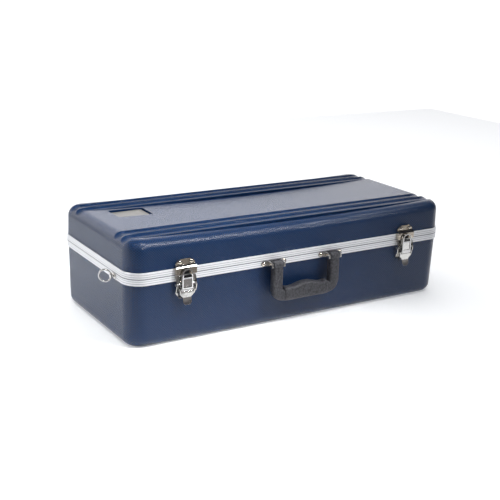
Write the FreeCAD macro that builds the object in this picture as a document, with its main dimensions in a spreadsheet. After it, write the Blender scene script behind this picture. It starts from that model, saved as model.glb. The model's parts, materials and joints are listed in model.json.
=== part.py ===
import FreeCAD, Part
import math
import os
import Sketcher
from FreeCAD import Placement, Rotation, Vector

# Hard case for an alto saxophone, in millimetres.
# Z is up, X runs along the case and the side with the handle faces -Y.
# The origin is the middle of the flat underside.

NAMES_AND_SIZES = [
    # Whole case, measured over the metal band
    ("case_length", 650.0),
    ("case_width", 280.6),
    ("case_height", 178.0),
    ("corner_radius", 31.7),
    ("parting_height", 118.0),
    # Metal band round the rims: a tongued half below and a grooved half above
    ("band_height", 10.3),
    ("band_gap", 0.3),
    ("band_wall", 1.8),
    ("band_web", 2.0),
    ("band_inner_wall", 1.5),
    ("band_groove_depth", 0.35),
    ("band_groove_width", 0.9),
    ("tongue_height", 3.6),
    ("tongue_wall", 1.5),
    ("tongue_clearance", 0.5),
    # Moulded shells
    ("shell_wall", 3.0),
    ("shell_fit", 0.1),
    ("straight_above_band", 0.5),
    ("draft_angle", 1.0),
    ("base_edge_radius", 15.8),
    ("lid_edge_radius", 17.0),
    ("inner_edge_radius", 12.0),
    ("floor_thickness", 3.0),
    ("lid_sag", 3.4),
    ("lid_ceiling", 3.0),
    # Round-bottomed grooves pressed along the lid, two on each side
    ("inner_groove_offset", 79.5),
    ("outer_groove_offset", 104.0),
    ("groove_width", 22.4),
    ("groove_depth", 3.0),
    ("bead_wall", 3.0),
    # Blank name plate let into the lid
    ("badge_along", -240.5),
    ("badge_across", 35.0),
    ("badge_length", 65.0),
    ("badge_width", 47.0),
    ("badge_corner_radius", 4.0),
    ("badge_recess_floor", 5.6),
    ("badge_clearance", 4.5),
    ("badge_plate_radius", 2.5),
    ("badge_thickness", 1.2),
    ("badge_border", 3.0),
    ("badge_border_height", 0.8),
    # Plush lining
    ("lining_side_clearance", 1.6),
    ("lining_floor_clearance", 0.3),
    ("lining_drop", 13.85),
    ("lining_corner_radius", 24.0),
    ("lid_pad_thickness", 19.2),
    ("lid_pad_clearance", 0.4),
    ("lid_pad_edge_radius", 8.0),
    ("well_floor", 30.0),
    ("body_cavity_floor", 14.0),
    ("mouthpiece_floor", 62.0),
    ("neck_floor", 56.0),
    ("cavity_corner_radius", 18.0),
    ("lining_edge_radius", 6.0),
    ("front_row_margin", 9.0),
    ("back_row_margin", 12.0),
    ("end_margin", 16.0),
    ("well_spacing", 14.0),
    ("well_length", 122.0),
    ("well_width", 118.0),
    ("mouthpiece_length", 108.0),
    ("mouthpiece_width", 38.0),
    ("neck_length", 196.0),
    ("neck_width", 42.0),
    # Rivets
    ("rivet_hole_clearance", 0.05),
    ("rivet_tail_height", 0.8),
    ("rivet_tail_rim", 1.1),
    ("small_shank", 1.5),
    ("small_head_rim", 1.1),
    ("small_head_height", 1.0),
    ("large_shank", 2.0),
    ("large_head_rim", 2.2),
    ("large_head_height", 3.2),
    ("plate_fit", 0.1),
    ("plate_thickness", 1.2),
    # Back hinges
    ("hinge_spacing", 215.0),
    ("hinge_width", 40.0),
    ("hinge_knuckle_radius", 3.0),
    ("hinge_knuckle_gap", 0.2),
    ("hinge_pin_radius", 1.5),
    ("pin_clearance", 0.05),
    ("hinge_pin_end", 0.6),
    ("hinge_leaf_height", 6.5),
    ("hinge_leaf_relief", 0.3),
    ("hinge_rivet_spacing", 13.0),
    ("hinge_rivet_height", 6.6),
    # Draw latches
    ("latch_offset", 228.0),
    ("latch_width", 37.0),
    ("latch_plate_drop", 30.5),
    ("latch_rivet_spacing", 14.0),
    ("upper_latch_rivet", 25.2),
    ("lower_latch_rivet", 7.5),
    ("latch_plate_chamfer", 12.0),
    ("latch_plate_chamfer_share", 0.8),
    ("latch_plate_below_rim", 1.5),
    ("joggle_gap", 0.4),
    ("joggle_rise", 1.6),
    ("joggle_inner_rise", 0.2),
    ("latch_step_fit", 0.05),
    ("latch_ear_reach", 6.8),
    ("ear_toe_out", 2.5),
    ("ear_toe_height", 6.0),
    ("ear_below_pivot", 5.0),
    ("ear_above_pivot", 4.0),
    ("ear_shoulder_out", 2.0),
    ("ear_shoulder_drop", 3.0),
    ("lever_pivot_out", 3.6),
    ("lever_pivot_drop", 5.55),
    ("lever_pin_radius", 1.5),
    ("lever_arm_inside", 12.0),
    ("lever_arm_thickness", 1.5),
    ("lever_eye_radius", 3.2),
    ("lever_eye_flat", 1.4),
    ("lever_barrel_flat", 1.6),
    ("pin_end", 0.4),
    ("hook_pivot_out", 7.6),
    ("hook_pivot_drop", 7.8),
    ("hook_pin_radius", 1.5),
    ("hook_barrel_radius", 2.6),
    ("hook_width", 20.0),
    ("hook_thickness", 1.3),
    ("hook_arch_rise", 1.05),
    ("hook_frame", 2.2),
    ("hook_panel_depth", 0.4),
    ("hook_panel_foot", 4.4),
    ("hook_panel_head", 4.2),
    ("hook_sill_drop", 0.6),
    ("hook_sill_height", 10.0),
    ("hook_cheek_depth", 3.6),
    ("hook_cheek_foot", 3.4),
    ("hook_cheek_heel", 6.0),
    ("hook_cheek_drop", 4.0),
    ("yoke_gap", 0.4),
    ("yoke_height", 4.0),
    ("yoke_taper_end", 9.5),
    ("tongue_width", 15.0),
    ("tongue_length", 33.0),
    ("tongue_bend_height", 11.0),
    ("tongue_plate_out", 7.4),
    ("tongue_plate_thickness", 1.3),
    ("tongue_flick", 2.4),
    ("tongue_corner_radius", 5.0),
    # Catches on the lid
    ("catch_height", 24.8),
    ("catch_gap", 0.55),
    ("catch_hood_out", 6.3),
    ("catch_hood_wall", 1.3),
    ("catch_rivet_spacing", 10.2),
    ("catch_rivet_drop", 4.9),
    ("catch_lip_reach", 8.2),
    ("catch_step_gap", 0.4),
    ("catch_face_height", 11.5),
    ("catch_brow_height", 15.5),
    ("catch_brow_drop", 1.2),
    ("catch_brow_slope", 2.2),
    ("catch_shoulder_drop", 2.5),
    ("catch_crown_share", 0.46),
    ("catch_crown_out", 1.6),
    ("catch_crown_low", 5.6),
    ("catch_crown_in", 4.6),
    ("catch_crown_high", 2.4),
    ("catch_hollow_height", 10.0),
    ("catch_mouth_height", 8.6),
    ("catch_mouth_clearance", 0.4),
    ("catch_lip_root", 4.6),
    ("catch_lip_edge", 1.6),
    ("catch_lip_thickness", 2.6),
    ("catch_lip_overlap", 0.2),
    # Handle and its brackets
    ("handle_spacing", 59.0),
    ("handle_axis_out", 12.0),
    ("handle_bar_radius", 3.0),
    ("handle_eye_radius", 7.0),
    ("handle_arm_width", 19.5),
    ("handle_bottom", 47.5),
    ("handle_corner_radius", 21.0),
    ("handle_grip_top", 70.0),
    ("handle_grip_swell", 0.8),
    ("handle_grip_bump", 6.0),
    ("handle_bump_half", 36.0),
    ("handle_grip_half", 45.0),
    ("handle_grip_depth", 18.5),
    ("handle_edge_radius", 4.5),
    ("grip_edge_radius", 7.0),
    ("bracket_leg_inside", 10.2),
    ("bracket_leg_thickness", 3.4),
    ("bracket_leg_radius", 4.4),
    ("bracket_half_length", 25.5),
    ("bracket_rivet_spacing", 20.0),
    ("bracket_foot_height", 9.0),
    ("bracket_foot_flat", 0.05),
    ("bracket_leg_edge", 1.08),
    # Carrying rings at the ends
    ("ring_across", -84.0),
    ("ring_out", 4.6),
    ("ring_radius", 9.8),
    ("ring_wire_radius", 1.4),
    ("ring_turn", 32.7),
    ("clip_loop_clearance", 0.6),
    ("clip_loop_wall", 1.3),
    ("clip_loop_height", 4.8),
    ("clip_half_length", 8.8),
    ("clip_height", 8.2),
    ("clip_corner_share", 0.6),
    ("clip_loop_overlap", 0.2),
    ("clip_rivet_spacing", 6.1),
]

doc = FreeCAD.newDocument("SaxophoneCase")
sheet = doc.addObject("Spreadsheet::Sheet", "Sizes")
for row, (name, number) in enumerate(NAMES_AND_SIZES, start=1):
    sheet.set("A%d" % row, name)
    sheet.set("B%d" % row, "%s" % number)
    sheet.setAlias("B%d" % row, name)
doc.recompute()


class Size:
    """A size with its value now and the expression that works it out from the sheet."""

    def __init__(self, value, text):
        self.value = float(value)
        self.text = text

    @staticmethod
    def of(thing):
        return thing if isinstance(thing, Size) else Size(thing, "%.6g" % thing)

    def __add__(self, other):
        other = Size.of(other)
        return Size(self.value + other.value, "(%s + %s)" % (self.text, other.text))

    def __radd__(self, other):
        return Size.of(other) + self

    def __sub__(self, other):
        other = Size.of(other)
        return Size(self.value - other.value, "(%s - %s)" % (self.text, other.text))

    def __rsub__(self, other):
        return Size.of(other) - self

    def __mul__(self, other):
        other = Size.of(other)
        return Size(self.value * other.value, "(%s * %s)" % (self.text, other.text))

    def __rmul__(self, other):
        return Size.of(other) * self

    def __truediv__(self, other):
        other = Size.of(other)
        return Size(self.value / other.value, "(%s / %s)" % (self.text, other.text))

    def __neg__(self):
        return Size(-self.value, "(-%s)" % self.text)

    def slope(self):
        """How far a wall drawn in by this many degrees leans for each millimetre of height."""
        return Size(math.tan(math.radians(self.value)), "tan(%s)" % self.text)


class Sizes:
    """Every name of the sheet as an attribute."""

    def __init__(self, rows):
        for alias, value in rows:
            setattr(self, alias, Size(value, "Sizes." + alias))


z = Sizes(NAMES_AND_SIZES)

HALF_LENGTH = z.case_length / 2
HALF_WIDTH = z.case_width / 2
LOWER_RIM = z.parting_height - z.band_gap / 2
UPPER_RIM = z.parting_height + z.band_gap / 2
BAND_BOTTOM = LOWER_RIM - z.band_height
BAND_TOP = UPPER_RIM + z.band_height
BAND_MIDDLE = BAND_BOTTOM + z.band_height / 2
SHELL_INSET = z.band_wall + z.shell_fit
INNER_INSET = SHELL_INSET + z.shell_wall
INNER_BAND_INSET = INNER_INSET + z.shell_fit + z.band_inner_wall
TONGUE_INSET = INNER_BAND_INSET + z.tongue_clearance
TONGUE_INNER_INSET = TONGUE_INSET + z.tongue_wall
STRAIGHT_RIM = z.band_height + z.straight_above_band
LEAN = z.draft_angle.slope()
LID_TOP_LOW = z.case_height - z.lid_sag
LID_CEILING = LID_TOP_LOW - z.lid_ceiling
CROWN_RADIUS = (HALF_LENGTH * HALF_LENGTH + z.lid_sag * z.lid_sag) / (2 * z.lid_sag)
PLATE_FRONT = z.plate_fit + z.plate_thickness
LEVER_PIVOT = BAND_BOTTOM - z.lever_pivot_drop
HOOK_PIVOT = LEVER_PIVOT - z.hook_pivot_drop
HOOK_ARCH = UPPER_RIM + z.hook_arch_rise
TONGUE_END = LEVER_PIVOT - z.tongue_length
LATCH_PLATE_BOTTOM = BAND_BOTTOM - z.latch_plate_drop
CATCH_BOTTOM = UPPER_RIM + z.catch_gap
CATCH_TOP = CATCH_BOTTOM + z.catch_height
CATCH_RIVET = CATCH_TOP - z.catch_rivet_drop
LINING_TOP = LOWER_RIM - z.lining_drop
BAND_STACK = PLATE_FRONT + INNER_BAND_INSET
EXTRA = 1.0

FRONT, LEFT, RIGHT, BACK = "front", "left", "right", "back"
TURNS = {FRONT: 0, LEFT: -90, RIGHT: 90, BACK: 180}


def placed(wall, along, out, up):
    """Place of a fitting whose own -Y points away from the case wall that it sits on."""
    spin = Rotation(Vector(0, 0, 1), TURNS[wall])
    x, y, up = Size.of(along), Size.of(out), Size.of(up)
    return Placement(Vector(x.value, y.value, up.value), spin), (x, y, up)


def bind(thing, prop, amount):
    """Sets a property and ties it to the sheet."""
    amount = Size.of(amount)
    setattr(thing, prop, amount.value)
    thing.setExpression(prop, amount.text)


def bind_place(thing, placement, corner):
    """Sets a placement and ties its three distances to the sheet."""
    thing.Placement = placement
    for axis, amount in zip("xyz", corner):
        thing.setExpression("Placement.Base." + axis, Size.of(amount).text)


class Piece:
    """One sub-part, built as a body of sketches and features."""

    def __init__(self, label, wall=FRONT, along=0.0, out=0.0, up=0.0):
        self.label = label
        self.body = doc.addObject("PartDesign::Body", label)
        self.body.Label = label
        self.count = 0
        placement, corner = placed(wall, along, out, up)
        bind_place(self.body, placement, corner)

    def name(self, kind):
        self.count += 1
        return "%s_%s_%d" % (self.label, kind, self.count)

    def sketch(self, role, lift=0.0):
        """Sketch on an origin plane, lifted along that plane's normal."""
        drawing = self.body.newObject("Sketcher::SketchObject", self.name("sketch"))
        planes = [one for one in self.body.Origin.OriginFeatures if one.Role == role]
        drawing.AttachmentSupport = [(planes[0], "")]
        drawing.MapMode = "FlatFace"
        lift = Size.of(lift)
        drawing.AttachmentOffset = Placement(Vector(0, 0, lift.value), Rotation())
        drawing.setExpression("AttachmentOffset.Base.z", lift.text)
        return drawing

    def feature(self, kind):
        return self.body.newObject("PartDesign::" + kind, self.name(kind.lower()))

    def pad(self, drawing, length, reverse=False, middle=False, taper=None):
        step = self.feature("Pad")
        step.Profile = (drawing, [""])
        bind(step, "Length", length)
        step.Reversed = reverse
        step.Midplane = middle
        if taper is not None:
            bind(step, "TaperAngle", taper)
        return self.made(step)

    def pocket(self, drawing, length, reverse=False, middle=False, taper=None):
        before = self.body.Shape.Volume
        step = self.feature("Pocket")
        step.Profile = (drawing, [""])
        bind(step, "Length", length)
        step.Reversed = reverse
        step.Midplane = middle
        if taper is not None:
            bind(step, "TaperAngle", taper)
        self.made(step)
        if self.body.Shape.Volume >= before - 1e-6:
            raise RuntimeError("%s cuts nothing" % step.Name)
        return step

    def round_edges(self, wanted, radius):
        """Rounds the edges of the body that the test picks."""
        base = self.body.Tip
        names = ["Edge%d" % (n + 1) for n, edge in enumerate(base.Shape.Edges) if wanted(edge)]
        if not names:
            raise RuntimeError("%s has no edge to round" % self.label)
        step = self.feature("Fillet")
        step.Base = (base, names)
        bind(step, "Radius", radius)
        return self.made(step)

    def made(self, step):
        self.body.Tip = step
        doc.recompute()
        if "Invalid" in step.State or "Error" in step.State or step.Shape.isNull():
            raise RuntimeError("%s failed" % step.Name)
        return step


def fix(drawing, kind, items, amount):
    """Adds one dimension and ties it to the sheet."""
    amount = Size.of(amount)
    index = drawing.addConstraint(Sketcher.Constraint(kind, *items, amount.value))
    label = "d%d" % index
    drawing.renameConstraint(index, label)
    drawing.setExpression("Constraints." + label, amount.text)


def fix_point(drawing, item, end, across, up):
    fix(drawing, "DistanceX", (item, end), across)
    fix(drawing, "DistanceY", (item, end), up)


def outline(drawing, points):
    """Closed outline of straight lines through points given as pairs of sizes."""
    points = [(Size.of(across), Size.of(up)) for across, up in points]
    first = drawing.GeometryCount
    total = len(points)
    for n, (across, up) in enumerate(points):
        after = points[(n + 1) % total]
        start = Vector(across.value, up.value, 0)
        end = Vector(after[0].value, after[1].value, 0)
        drawing.addGeometry(Part.LineSegment(start, end), False)
    for n in range(total):
        after = first + (n + 1) % total
        drawing.addConstraint(Sketcher.Constraint("Coincident", first + n, 2, after, 1))
    for n, (across, up) in enumerate(points):
        fix_point(drawing, first + n, 1, across, up)


def box_outline(drawing, left, bottom, right, top):
    outline(drawing, [(left, bottom), (right, bottom), (right, top), (left, top)])


def circle(drawing, across, up, radius):
    across, up, radius = Size.of(across), Size.of(up), Size.of(radius)
    middle = Vector(across.value, up.value, 0)
    item = drawing.addGeometry(Part.Circle(middle, Vector(0, 0, 1), radius.value), False)
    fix(drawing, "Radius", (item,), radius)
    fix_point(drawing, item, 3, across, up)


def rounded_box(drawing, left, bottom, right, top, radius):
    """Rectangle with four equal round corners."""
    left, bottom, right, top = (Size.of(side) for side in (left, bottom, right, top))
    radius = Size.of(radius)
    x0, y0, x1, y1, r = left.value, bottom.value, right.value, top.value, radius.value
    first = drawing.GeometryCount
    sides = [
        ((x0 + r, y0), (x1 - r, y0)),
        ((x1, y0 + r), (x1, y1 - r)),
        ((x1 - r, y1), (x0 + r, y1)),
        ((x0, y1 - r), (x0, y0 + r)),
    ]
    corners = [(x1 - r, y0 + r), (x1 - r, y1 - r), (x0 + r, y1 - r), (x0 + r, y0 + r)]
    for start, end in sides:
        drawing.addGeometry(Part.LineSegment(Vector(*start, 0), Vector(*end, 0)), False)
    for n, middle in enumerate(corners):
        ring = Part.Circle(Vector(*middle, 0), Vector(0, 0, 1), r)
        begin = (n - 1) * math.pi / 2
        drawing.addGeometry(Part.ArcOfCircle(ring, begin, begin + math.pi / 2), False)
    for n in range(4):
        side, corner, after = first + n, first + 4 + n, first + (n + 1) % 4
        drawing.addConstraint(Sketcher.Constraint("Tangent", side, 2, corner, 1))
        drawing.addConstraint(Sketcher.Constraint("Tangent", corner, 2, after, 1))
    for n, kind in enumerate(("Horizontal", "Vertical", "Horizontal", "Vertical")):
        drawing.addConstraint(Sketcher.Constraint(kind, first + n))
    for n in (5, 6, 7):
        drawing.addConstraint(Sketcher.Constraint("Equal", first + 4, first + n))
    fix(drawing, "Radius", (first + 4,), radius)
    fix(drawing, "DistanceY", (first, 1), bottom)
    fix(drawing, "DistanceX", (first + 1, 1), right)
    fix(drawing, "DistanceY", (first + 2, 1), top)
    fix(drawing, "DistanceX", (first + 3, 1), left)


def plan_box(drawing, inset):
    """The case's plan outline, drawn in from the face of the band."""
    inset = Size.of(inset)
    rounded_box(drawing, inset - HALF_LENGTH, inset - HALF_WIDTH,
                HALF_LENGTH - inset, HALF_WIDTH - inset, z.corner_radius - inset)


def spans(edge, low, high, slack=0.01):
    """True for an edge that lies between two heights."""
    box = edge.BoundBox
    return box.ZMin > low - slack and box.ZMax < high + slack


def is_along(edge, axis):
    """True for a straight edge along one axis."""
    if not isinstance(edge.Curve, (Part.Line, Part.LineSegment)):
        return False
    run = edge.tangentAt(edge.FirstParameter)
    return abs(abs(run.dot(axis)) - 1) < 1e-6


X_AXIS, Y_AXIS, Z_AXIS = Vector(1, 0, 0), Vector(0, 1, 0), Vector(0, 0, 1)

# Rivet places, each as the distance along its wall and its height
HINGE_PLACES = [("left", -z.hinge_spacing), ("middle", Size.of(0)), ("right", z.hinge_spacing)]
SIDES = [("left", -1), ("right", 1)]
LATCH_PLATE_RIVETS = [
    (-z.latch_rivet_spacing / 2, LATCH_PLATE_BOTTOM + z.upper_latch_rivet),
    (z.latch_rivet_spacing / 2, LATCH_PLATE_BOTTOM + z.upper_latch_rivet),
    (Size.of(0), LATCH_PLATE_BOTTOM + z.lower_latch_rivet),
]


def hinge_rivet_places(height):
    return [(middle + side * z.hinge_rivet_spacing, height)
            for _, middle in HINGE_PLACES for side in (-1, 1)]


def bracket_rivet_places():
    return [(hand * z.handle_spacing + side * z.bracket_rivet_spacing, BAND_MIDDLE)
            for hand in (-1, 1) for side in (-1, 1)]


def catch_rivet_places():
    return [(hand * z.latch_offset + side * z.catch_rivet_spacing, CATCH_RIVET)
            for hand in (-1, 1) for side in (-1, 1)]


def plate_rivet_places():
    return [(hand * z.latch_offset + across, height)
            for hand in (-1, 1) for across, height in LATCH_PLATE_RIVETS]


def clip_rivet_places():
    return [(z.ring_across + side * z.clip_rivet_spacing, BAND_MIDDLE) for side in (-1, 1)]


LOWER_HINGE_RIVET = z.parting_height - z.hinge_rivet_height
UPPER_HINGE_RIVET = z.parting_height + z.hinge_rivet_height


def drill(piece, wall, places, shank):
    """Drills rivet holes through one wall, from outside it."""
    depth = BAND_STACK + 3 * EXTRA
    radius = shank + z.rivet_hole_clearance
    if wall in (FRONT, BACK):
        face = HALF_WIDTH + EXTRA
        drawing = piece.sketch("XZ_Plane", face if wall == FRONT else -face)
        reverse = wall == BACK
    else:
        face = HALF_LENGTH + EXTRA
        drawing = piece.sketch("YZ_Plane", face if wall == RIGHT else -face)
        reverse = wall == LEFT
    for along, height in places:
        circle(drawing, along, height, radius)
    piece.pocket(drawing, depth, reverse=reverse)


def hollow_tub(piece, rim, end, downwards, edge_radius, deck):
    """Tub with a straight rim and walls that lean in towards its closed end."""
    step = -1 if downwards else 1
    outer = piece.sketch("XY_Plane", rim)
    plan_box(outer, SHELL_INSET)
    piece.pad(outer, STRAIGHT_RIM, reverse=downwards)
    shoulder = rim + step * STRAIGHT_RIM
    wall = piece.sketch("XY_Plane", shoulder)
    plan_box(wall, SHELL_INSET)
    piece.pad(wall, step * (end - shoulder), reverse=downwards, taper=-z.draft_angle)
    if not downwards:
        dish = piece.body.newObject("PartDesign::SubtractiveCylinder", piece.name("dish"))
        bind(dish, "Radius", CROWN_RADIUS)
        bind(dish, "Height", z.case_width + 2 * EXTRA)
        lying = Placement(Vector(), Rotation(X_AXIS, 90))
        lying.Base = Vector(0, (HALF_WIDTH + EXTRA).value, (LID_TOP_LOW + CROWN_RADIUS).value)
        bind_place(dish, lying, (0, HALF_WIDTH + EXTRA, LID_TOP_LOW + CROWN_RADIUS))
        piece.made(dish)
    inner = piece.sketch("XY_Plane", rim)
    plan_box(inner, INNER_INSET)
    piece.pocket(inner, STRAIGHT_RIM, reverse=not downwards)
    hollow = piece.sketch("XY_Plane", shoulder)
    plan_box(hollow, INNER_INSET)
    piece.pocket(hollow, step * (deck - shoulder), reverse=not downwards, taper=-z.draft_angle)
    piece.round_edges(lambda edge: spans(edge, deck.value, deck.value), z.inner_edge_radius)
    low, high = (end.value, end.value) if downwards else (LID_TOP_LOW.value, end.value)
    piece.round_edges(lambda edge: spans(edge, low, high), edge_radius)


def base_shell():
    """Lower moulded shell, open at the top."""
    piece = Piece("base_shell")
    rim = LOWER_RIM - z.band_web - z.shell_fit
    hollow_tub(piece, rim, Size.of(0), True, z.base_edge_radius, z.floor_thickness)
    drill(piece, FRONT, bracket_rivet_places(), z.large_shank)
    drill(piece, FRONT, plate_rivet_places(), z.small_shank)
    drill(piece, BACK, hinge_rivet_places(LOWER_HINGE_RIVET), z.small_shank)
    for wall in (LEFT, RIGHT):
        drill(piece, wall, clip_rivet_places(), z.small_shank)
    return piece.body


def lid_shell():
    """Upper moulded shell: a dished top with two pairs of grooves and a sunk place for a plate."""
    piece = Piece("lid_shell")
    rim = UPPER_RIM + z.band_web + z.shell_fit
    hollow_tub(piece, rim, z.case_height, False, z.lid_edge_radius, LID_CEILING)
    beads = piece.sketch("XY_Plane", LID_CEILING - z.groove_depth)
    long = HALF_LENGTH - INNER_INSET - z.inner_edge_radius
    near = z.inner_groove_offset - z.groove_width / 2 - z.bead_wall
    far = z.outer_groove_offset + z.groove_width / 2 + z.bead_wall
    box_outline(beads, -long, near, long, far)
    box_outline(beads, -long, -far, long, -near)
    half_long, half_wide = z.badge_length / 2, z.badge_width / 2
    boss_long, boss_wide = half_long + z.bead_wall, half_wide + z.bead_wall
    rounded_box(beads, z.badge_along - boss_long, z.badge_across - boss_wide,
                z.badge_along + boss_long, z.badge_across + boss_wide, z.badge_corner_radius)
    piece.pad(beads, z.groove_depth + z.lid_ceiling / 2)
    crown = LID_TOP_LOW + CROWN_RADIUS
    half_width = z.groove_width / 2
    radius = (half_width * half_width + z.groove_depth * z.groove_depth) / (2 * z.groove_depth)
    for middle in (z.inner_groove_offset, z.outer_groove_offset):
        for hand in (-1, 1):
            groove = piece.body.newObject("PartDesign::SubtractiveTorus", piece.name("groove"))
            bind(groove, "Radius1", CROWN_RADIUS + z.groove_depth - radius)
            bind(groove, "Radius2", radius)
            lying = Placement(Vector(0, (hand * middle).value, crown.value), Rotation(X_AXIS, 90))
            bind_place(groove, lying, (0, hand * middle, crown))
            piece.made(groove)
    recess = piece.sketch("XY_Plane", z.case_height)
    rounded_box(recess, z.badge_along - half_long, z.badge_across - half_wide,
                z.badge_along + half_long, z.badge_across + half_wide, z.badge_corner_radius)
    piece.pocket(recess, z.badge_recess_floor)
    drill(piece, FRONT, catch_rivet_places(), z.large_shank)
    drill(piece, BACK, hinge_rivet_places(UPPER_HINGE_RIVET), z.small_shank)
    return piece.body


def ring_cut(piece, level, depth, upwards, outer_inset, inner_inset):
    """Cuts a groove that follows the plan outline between two insets."""
    drawing = piece.sketch("XY_Plane", level)
    plan_box(drawing, outer_inset)
    plan_box(drawing, inner_inset)
    piece.pocket(drawing, depth, reverse=upwards)


def band_grooves(piece, bottom):
    """Two fine grooves along the face of one half of the band."""
    for share in (1, 2):
        level = bottom + share * z.band_height / 3 - z.band_groove_width / 2
        drawing = piece.sketch("XY_Plane", level)
        plan_box(drawing, -EXTRA)
        plan_box(drawing, z.band_groove_depth)
        piece.pocket(drawing, z.band_groove_width, reverse=True)


def base_band():
    """Lower half of the metal band, which grips the base rim and carries the tongue."""
    piece = Piece("base_band")
    outer = piece.sketch("XY_Plane", BAND_BOTTOM)
    plan_box(outer, 0)
    piece.pad(outer, z.band_height)
    tongue = piece.sketch("XY_Plane", LOWER_RIM)
    plan_box(tongue, TONGUE_INSET)
    piece.pad(tongue, z.tongue_height)
    mouth = piece.sketch("XY_Plane", BAND_BOTTOM - EXTRA)
    plan_box(mouth, TONGUE_INNER_INSET)
    piece.pocket(mouth, z.band_height + z.tongue_height + 2 * EXTRA, reverse=True)
    under = piece.sketch("XY_Plane", BAND_BOTTOM - EXTRA)
    plan_box(under, INNER_BAND_INSET)
    piece.pocket(under, z.band_height - z.band_web + EXTRA, reverse=True)
    slot = z.band_height - z.band_web
    ring_cut(piece, BAND_BOTTOM, slot, True, z.band_wall, INNER_INSET + z.shell_fit)
    band_grooves(piece, BAND_BOTTOM)
    drill(piece, FRONT, bracket_rivet_places(), z.large_shank)
    drill(piece, BACK, hinge_rivet_places(LOWER_HINGE_RIVET), z.small_shank)
    for wall in (LEFT, RIGHT):
        drill(piece, wall, clip_rivet_places(), z.small_shank)
    return piece.body


def lid_band():
    """Upper half of the metal band, which grips the lid rim and closes outside the tongue."""
    piece = Piece("lid_band")
    outer = piece.sketch("XY_Plane", UPPER_RIM)
    plan_box(outer, 0)
    piece.pad(outer, z.band_height)
    mouth = piece.sketch("XY_Plane", UPPER_RIM - EXTRA)
    plan_box(mouth, INNER_BAND_INSET)
    piece.pocket(mouth, z.band_height + 2 * EXTRA, reverse=True)
    slot = z.band_height - z.band_web
    ring_cut(piece, BAND_TOP, slot, False, z.band_wall, INNER_INSET + z.shell_fit)
    band_grooves(piece, UPPER_RIM)
    drill(piece, BACK, hinge_rivet_places(UPPER_HINGE_RIVET), z.small_shank)
    return piece.body


def badge_plate():
    """Blank plate with a raised border, lying in its recess in the lid."""
    piece = Piece("badge_plate", along=z.badge_along, out=z.badge_across,
                  up=z.case_height - z.badge_recess_floor)
    half_long = z.badge_length / 2 - z.badge_clearance
    half_wide = z.badge_width / 2 - z.badge_clearance
    radius = z.badge_plate_radius
    blank = piece.sketch("XY_Plane")
    rounded_box(blank, -half_long, -half_wide, half_long, half_wide, radius)
    piece.pad(blank, z.badge_thickness + z.badge_border_height)
    inside = piece.sketch("XY_Plane", z.badge_thickness + z.badge_border_height)
    rounded_box(inside, z.badge_border - half_long, z.badge_border - half_wide,
                half_long - z.badge_border, half_wide - z.badge_border, radius / 2)
    piece.pocket(inside, z.badge_border_height)
    return piece.body


BED_FLOOR = z.floor_thickness + z.lining_floor_clearance
BED_INSET = INNER_INSET + z.lining_side_clearance + (BAND_BOTTOM - BED_FLOOR) * LEAN
BED_LONG = HALF_LENGTH - BED_INSET
BED_WIDE = HALF_WIDTH - BED_INSET
FRONT_ROW = z.front_row_margin - BED_WIDE
BACK_ROW = BED_WIDE - z.back_row_margin
LEFT_END = z.end_margin - BED_LONG
RIGHT_END = BED_LONG - z.end_margin
NECK_BACK = FRONT_ROW + z.neck_width
MOUTHPIECE_LEFT = LEFT_END + z.well_length + z.well_spacing

# Outline of the place for the instrument, lying with its bell to the front
SAXOPHONE_OUTLINE = [
    (LEFT_END, 28.0), (LEFT_END, BACK_ROW - 8.0), (-40.0, BACK_ROW), (214.0, BACK_ROW),
    (RIGHT_END - 30.0, BACK_ROW - 16.0), (RIGHT_END, 58.0), (RIGHT_END, 0.0),
    (RIGHT_END - 34.0, -46.0), (196.0, NECK_BACK + 17.0), (90.0, NECK_BACK + 13.0),
    (10.0, FRONT_ROW + 39.0), (-46.0, FRONT_ROW), (-96.0, FRONT_ROW), (-96.0, 8.0), (-150.0, 22.0),
]


def plush_bed():
    """Lining of the base: a padded block with sunk places for the instrument and its parts."""
    piece = Piece("plush_bed")
    block = piece.sketch("XY_Plane", BED_FLOOR)
    rounded_box(block, -BED_LONG, -BED_WIDE, BED_LONG, BED_WIDE, z.lining_corner_radius)
    piece.pad(block, LINING_TOP - BED_FLOOR)
    bottom, top = BED_FLOOR.value, LINING_TOP.value
    piece.round_edges(lambda edge: spans(edge, bottom, bottom), z.inner_edge_radius)
    piece.round_edges(lambda edge: spans(edge, top, top), z.lining_edge_radius)

    def sink(points, deck):
        points = [(Size.of(across), Size.of(up)) for across, up in points]
        drawing = piece.sketch("XY_Plane", LINING_TOP)
        outline(drawing, points)
        piece.pocket(drawing, LINING_TOP - deck)

        def upright(edge):
            if not is_along(edge, Z_AXIS) or not spans(edge, deck.value, top):
                return False
            spot = edge.BoundBox.Center
            return min(math.hypot(spot.x - across.value, spot.y - up.value)
                       for across, up in points) < 0.01

        piece.round_edges(upright, z.cavity_corner_radius)

    def well(left, long, wide, deck):
        right, back = left + long, FRONT_ROW + wide
        sink([(left, FRONT_ROW), (right, FRONT_ROW), (right, back), (left, back)], deck)

    sink(SAXOPHONE_OUTLINE, z.body_cavity_floor)
    well(LEFT_END, z.well_length, z.well_width, z.well_floor)
    well(MOUTHPIECE_LEFT, z.mouthpiece_width, z.mouthpiece_length, z.mouthpiece_floor)
    well(RIGHT_END - z.neck_length, z.neck_length, z.neck_width, z.neck_floor)
    return piece.body


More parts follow.
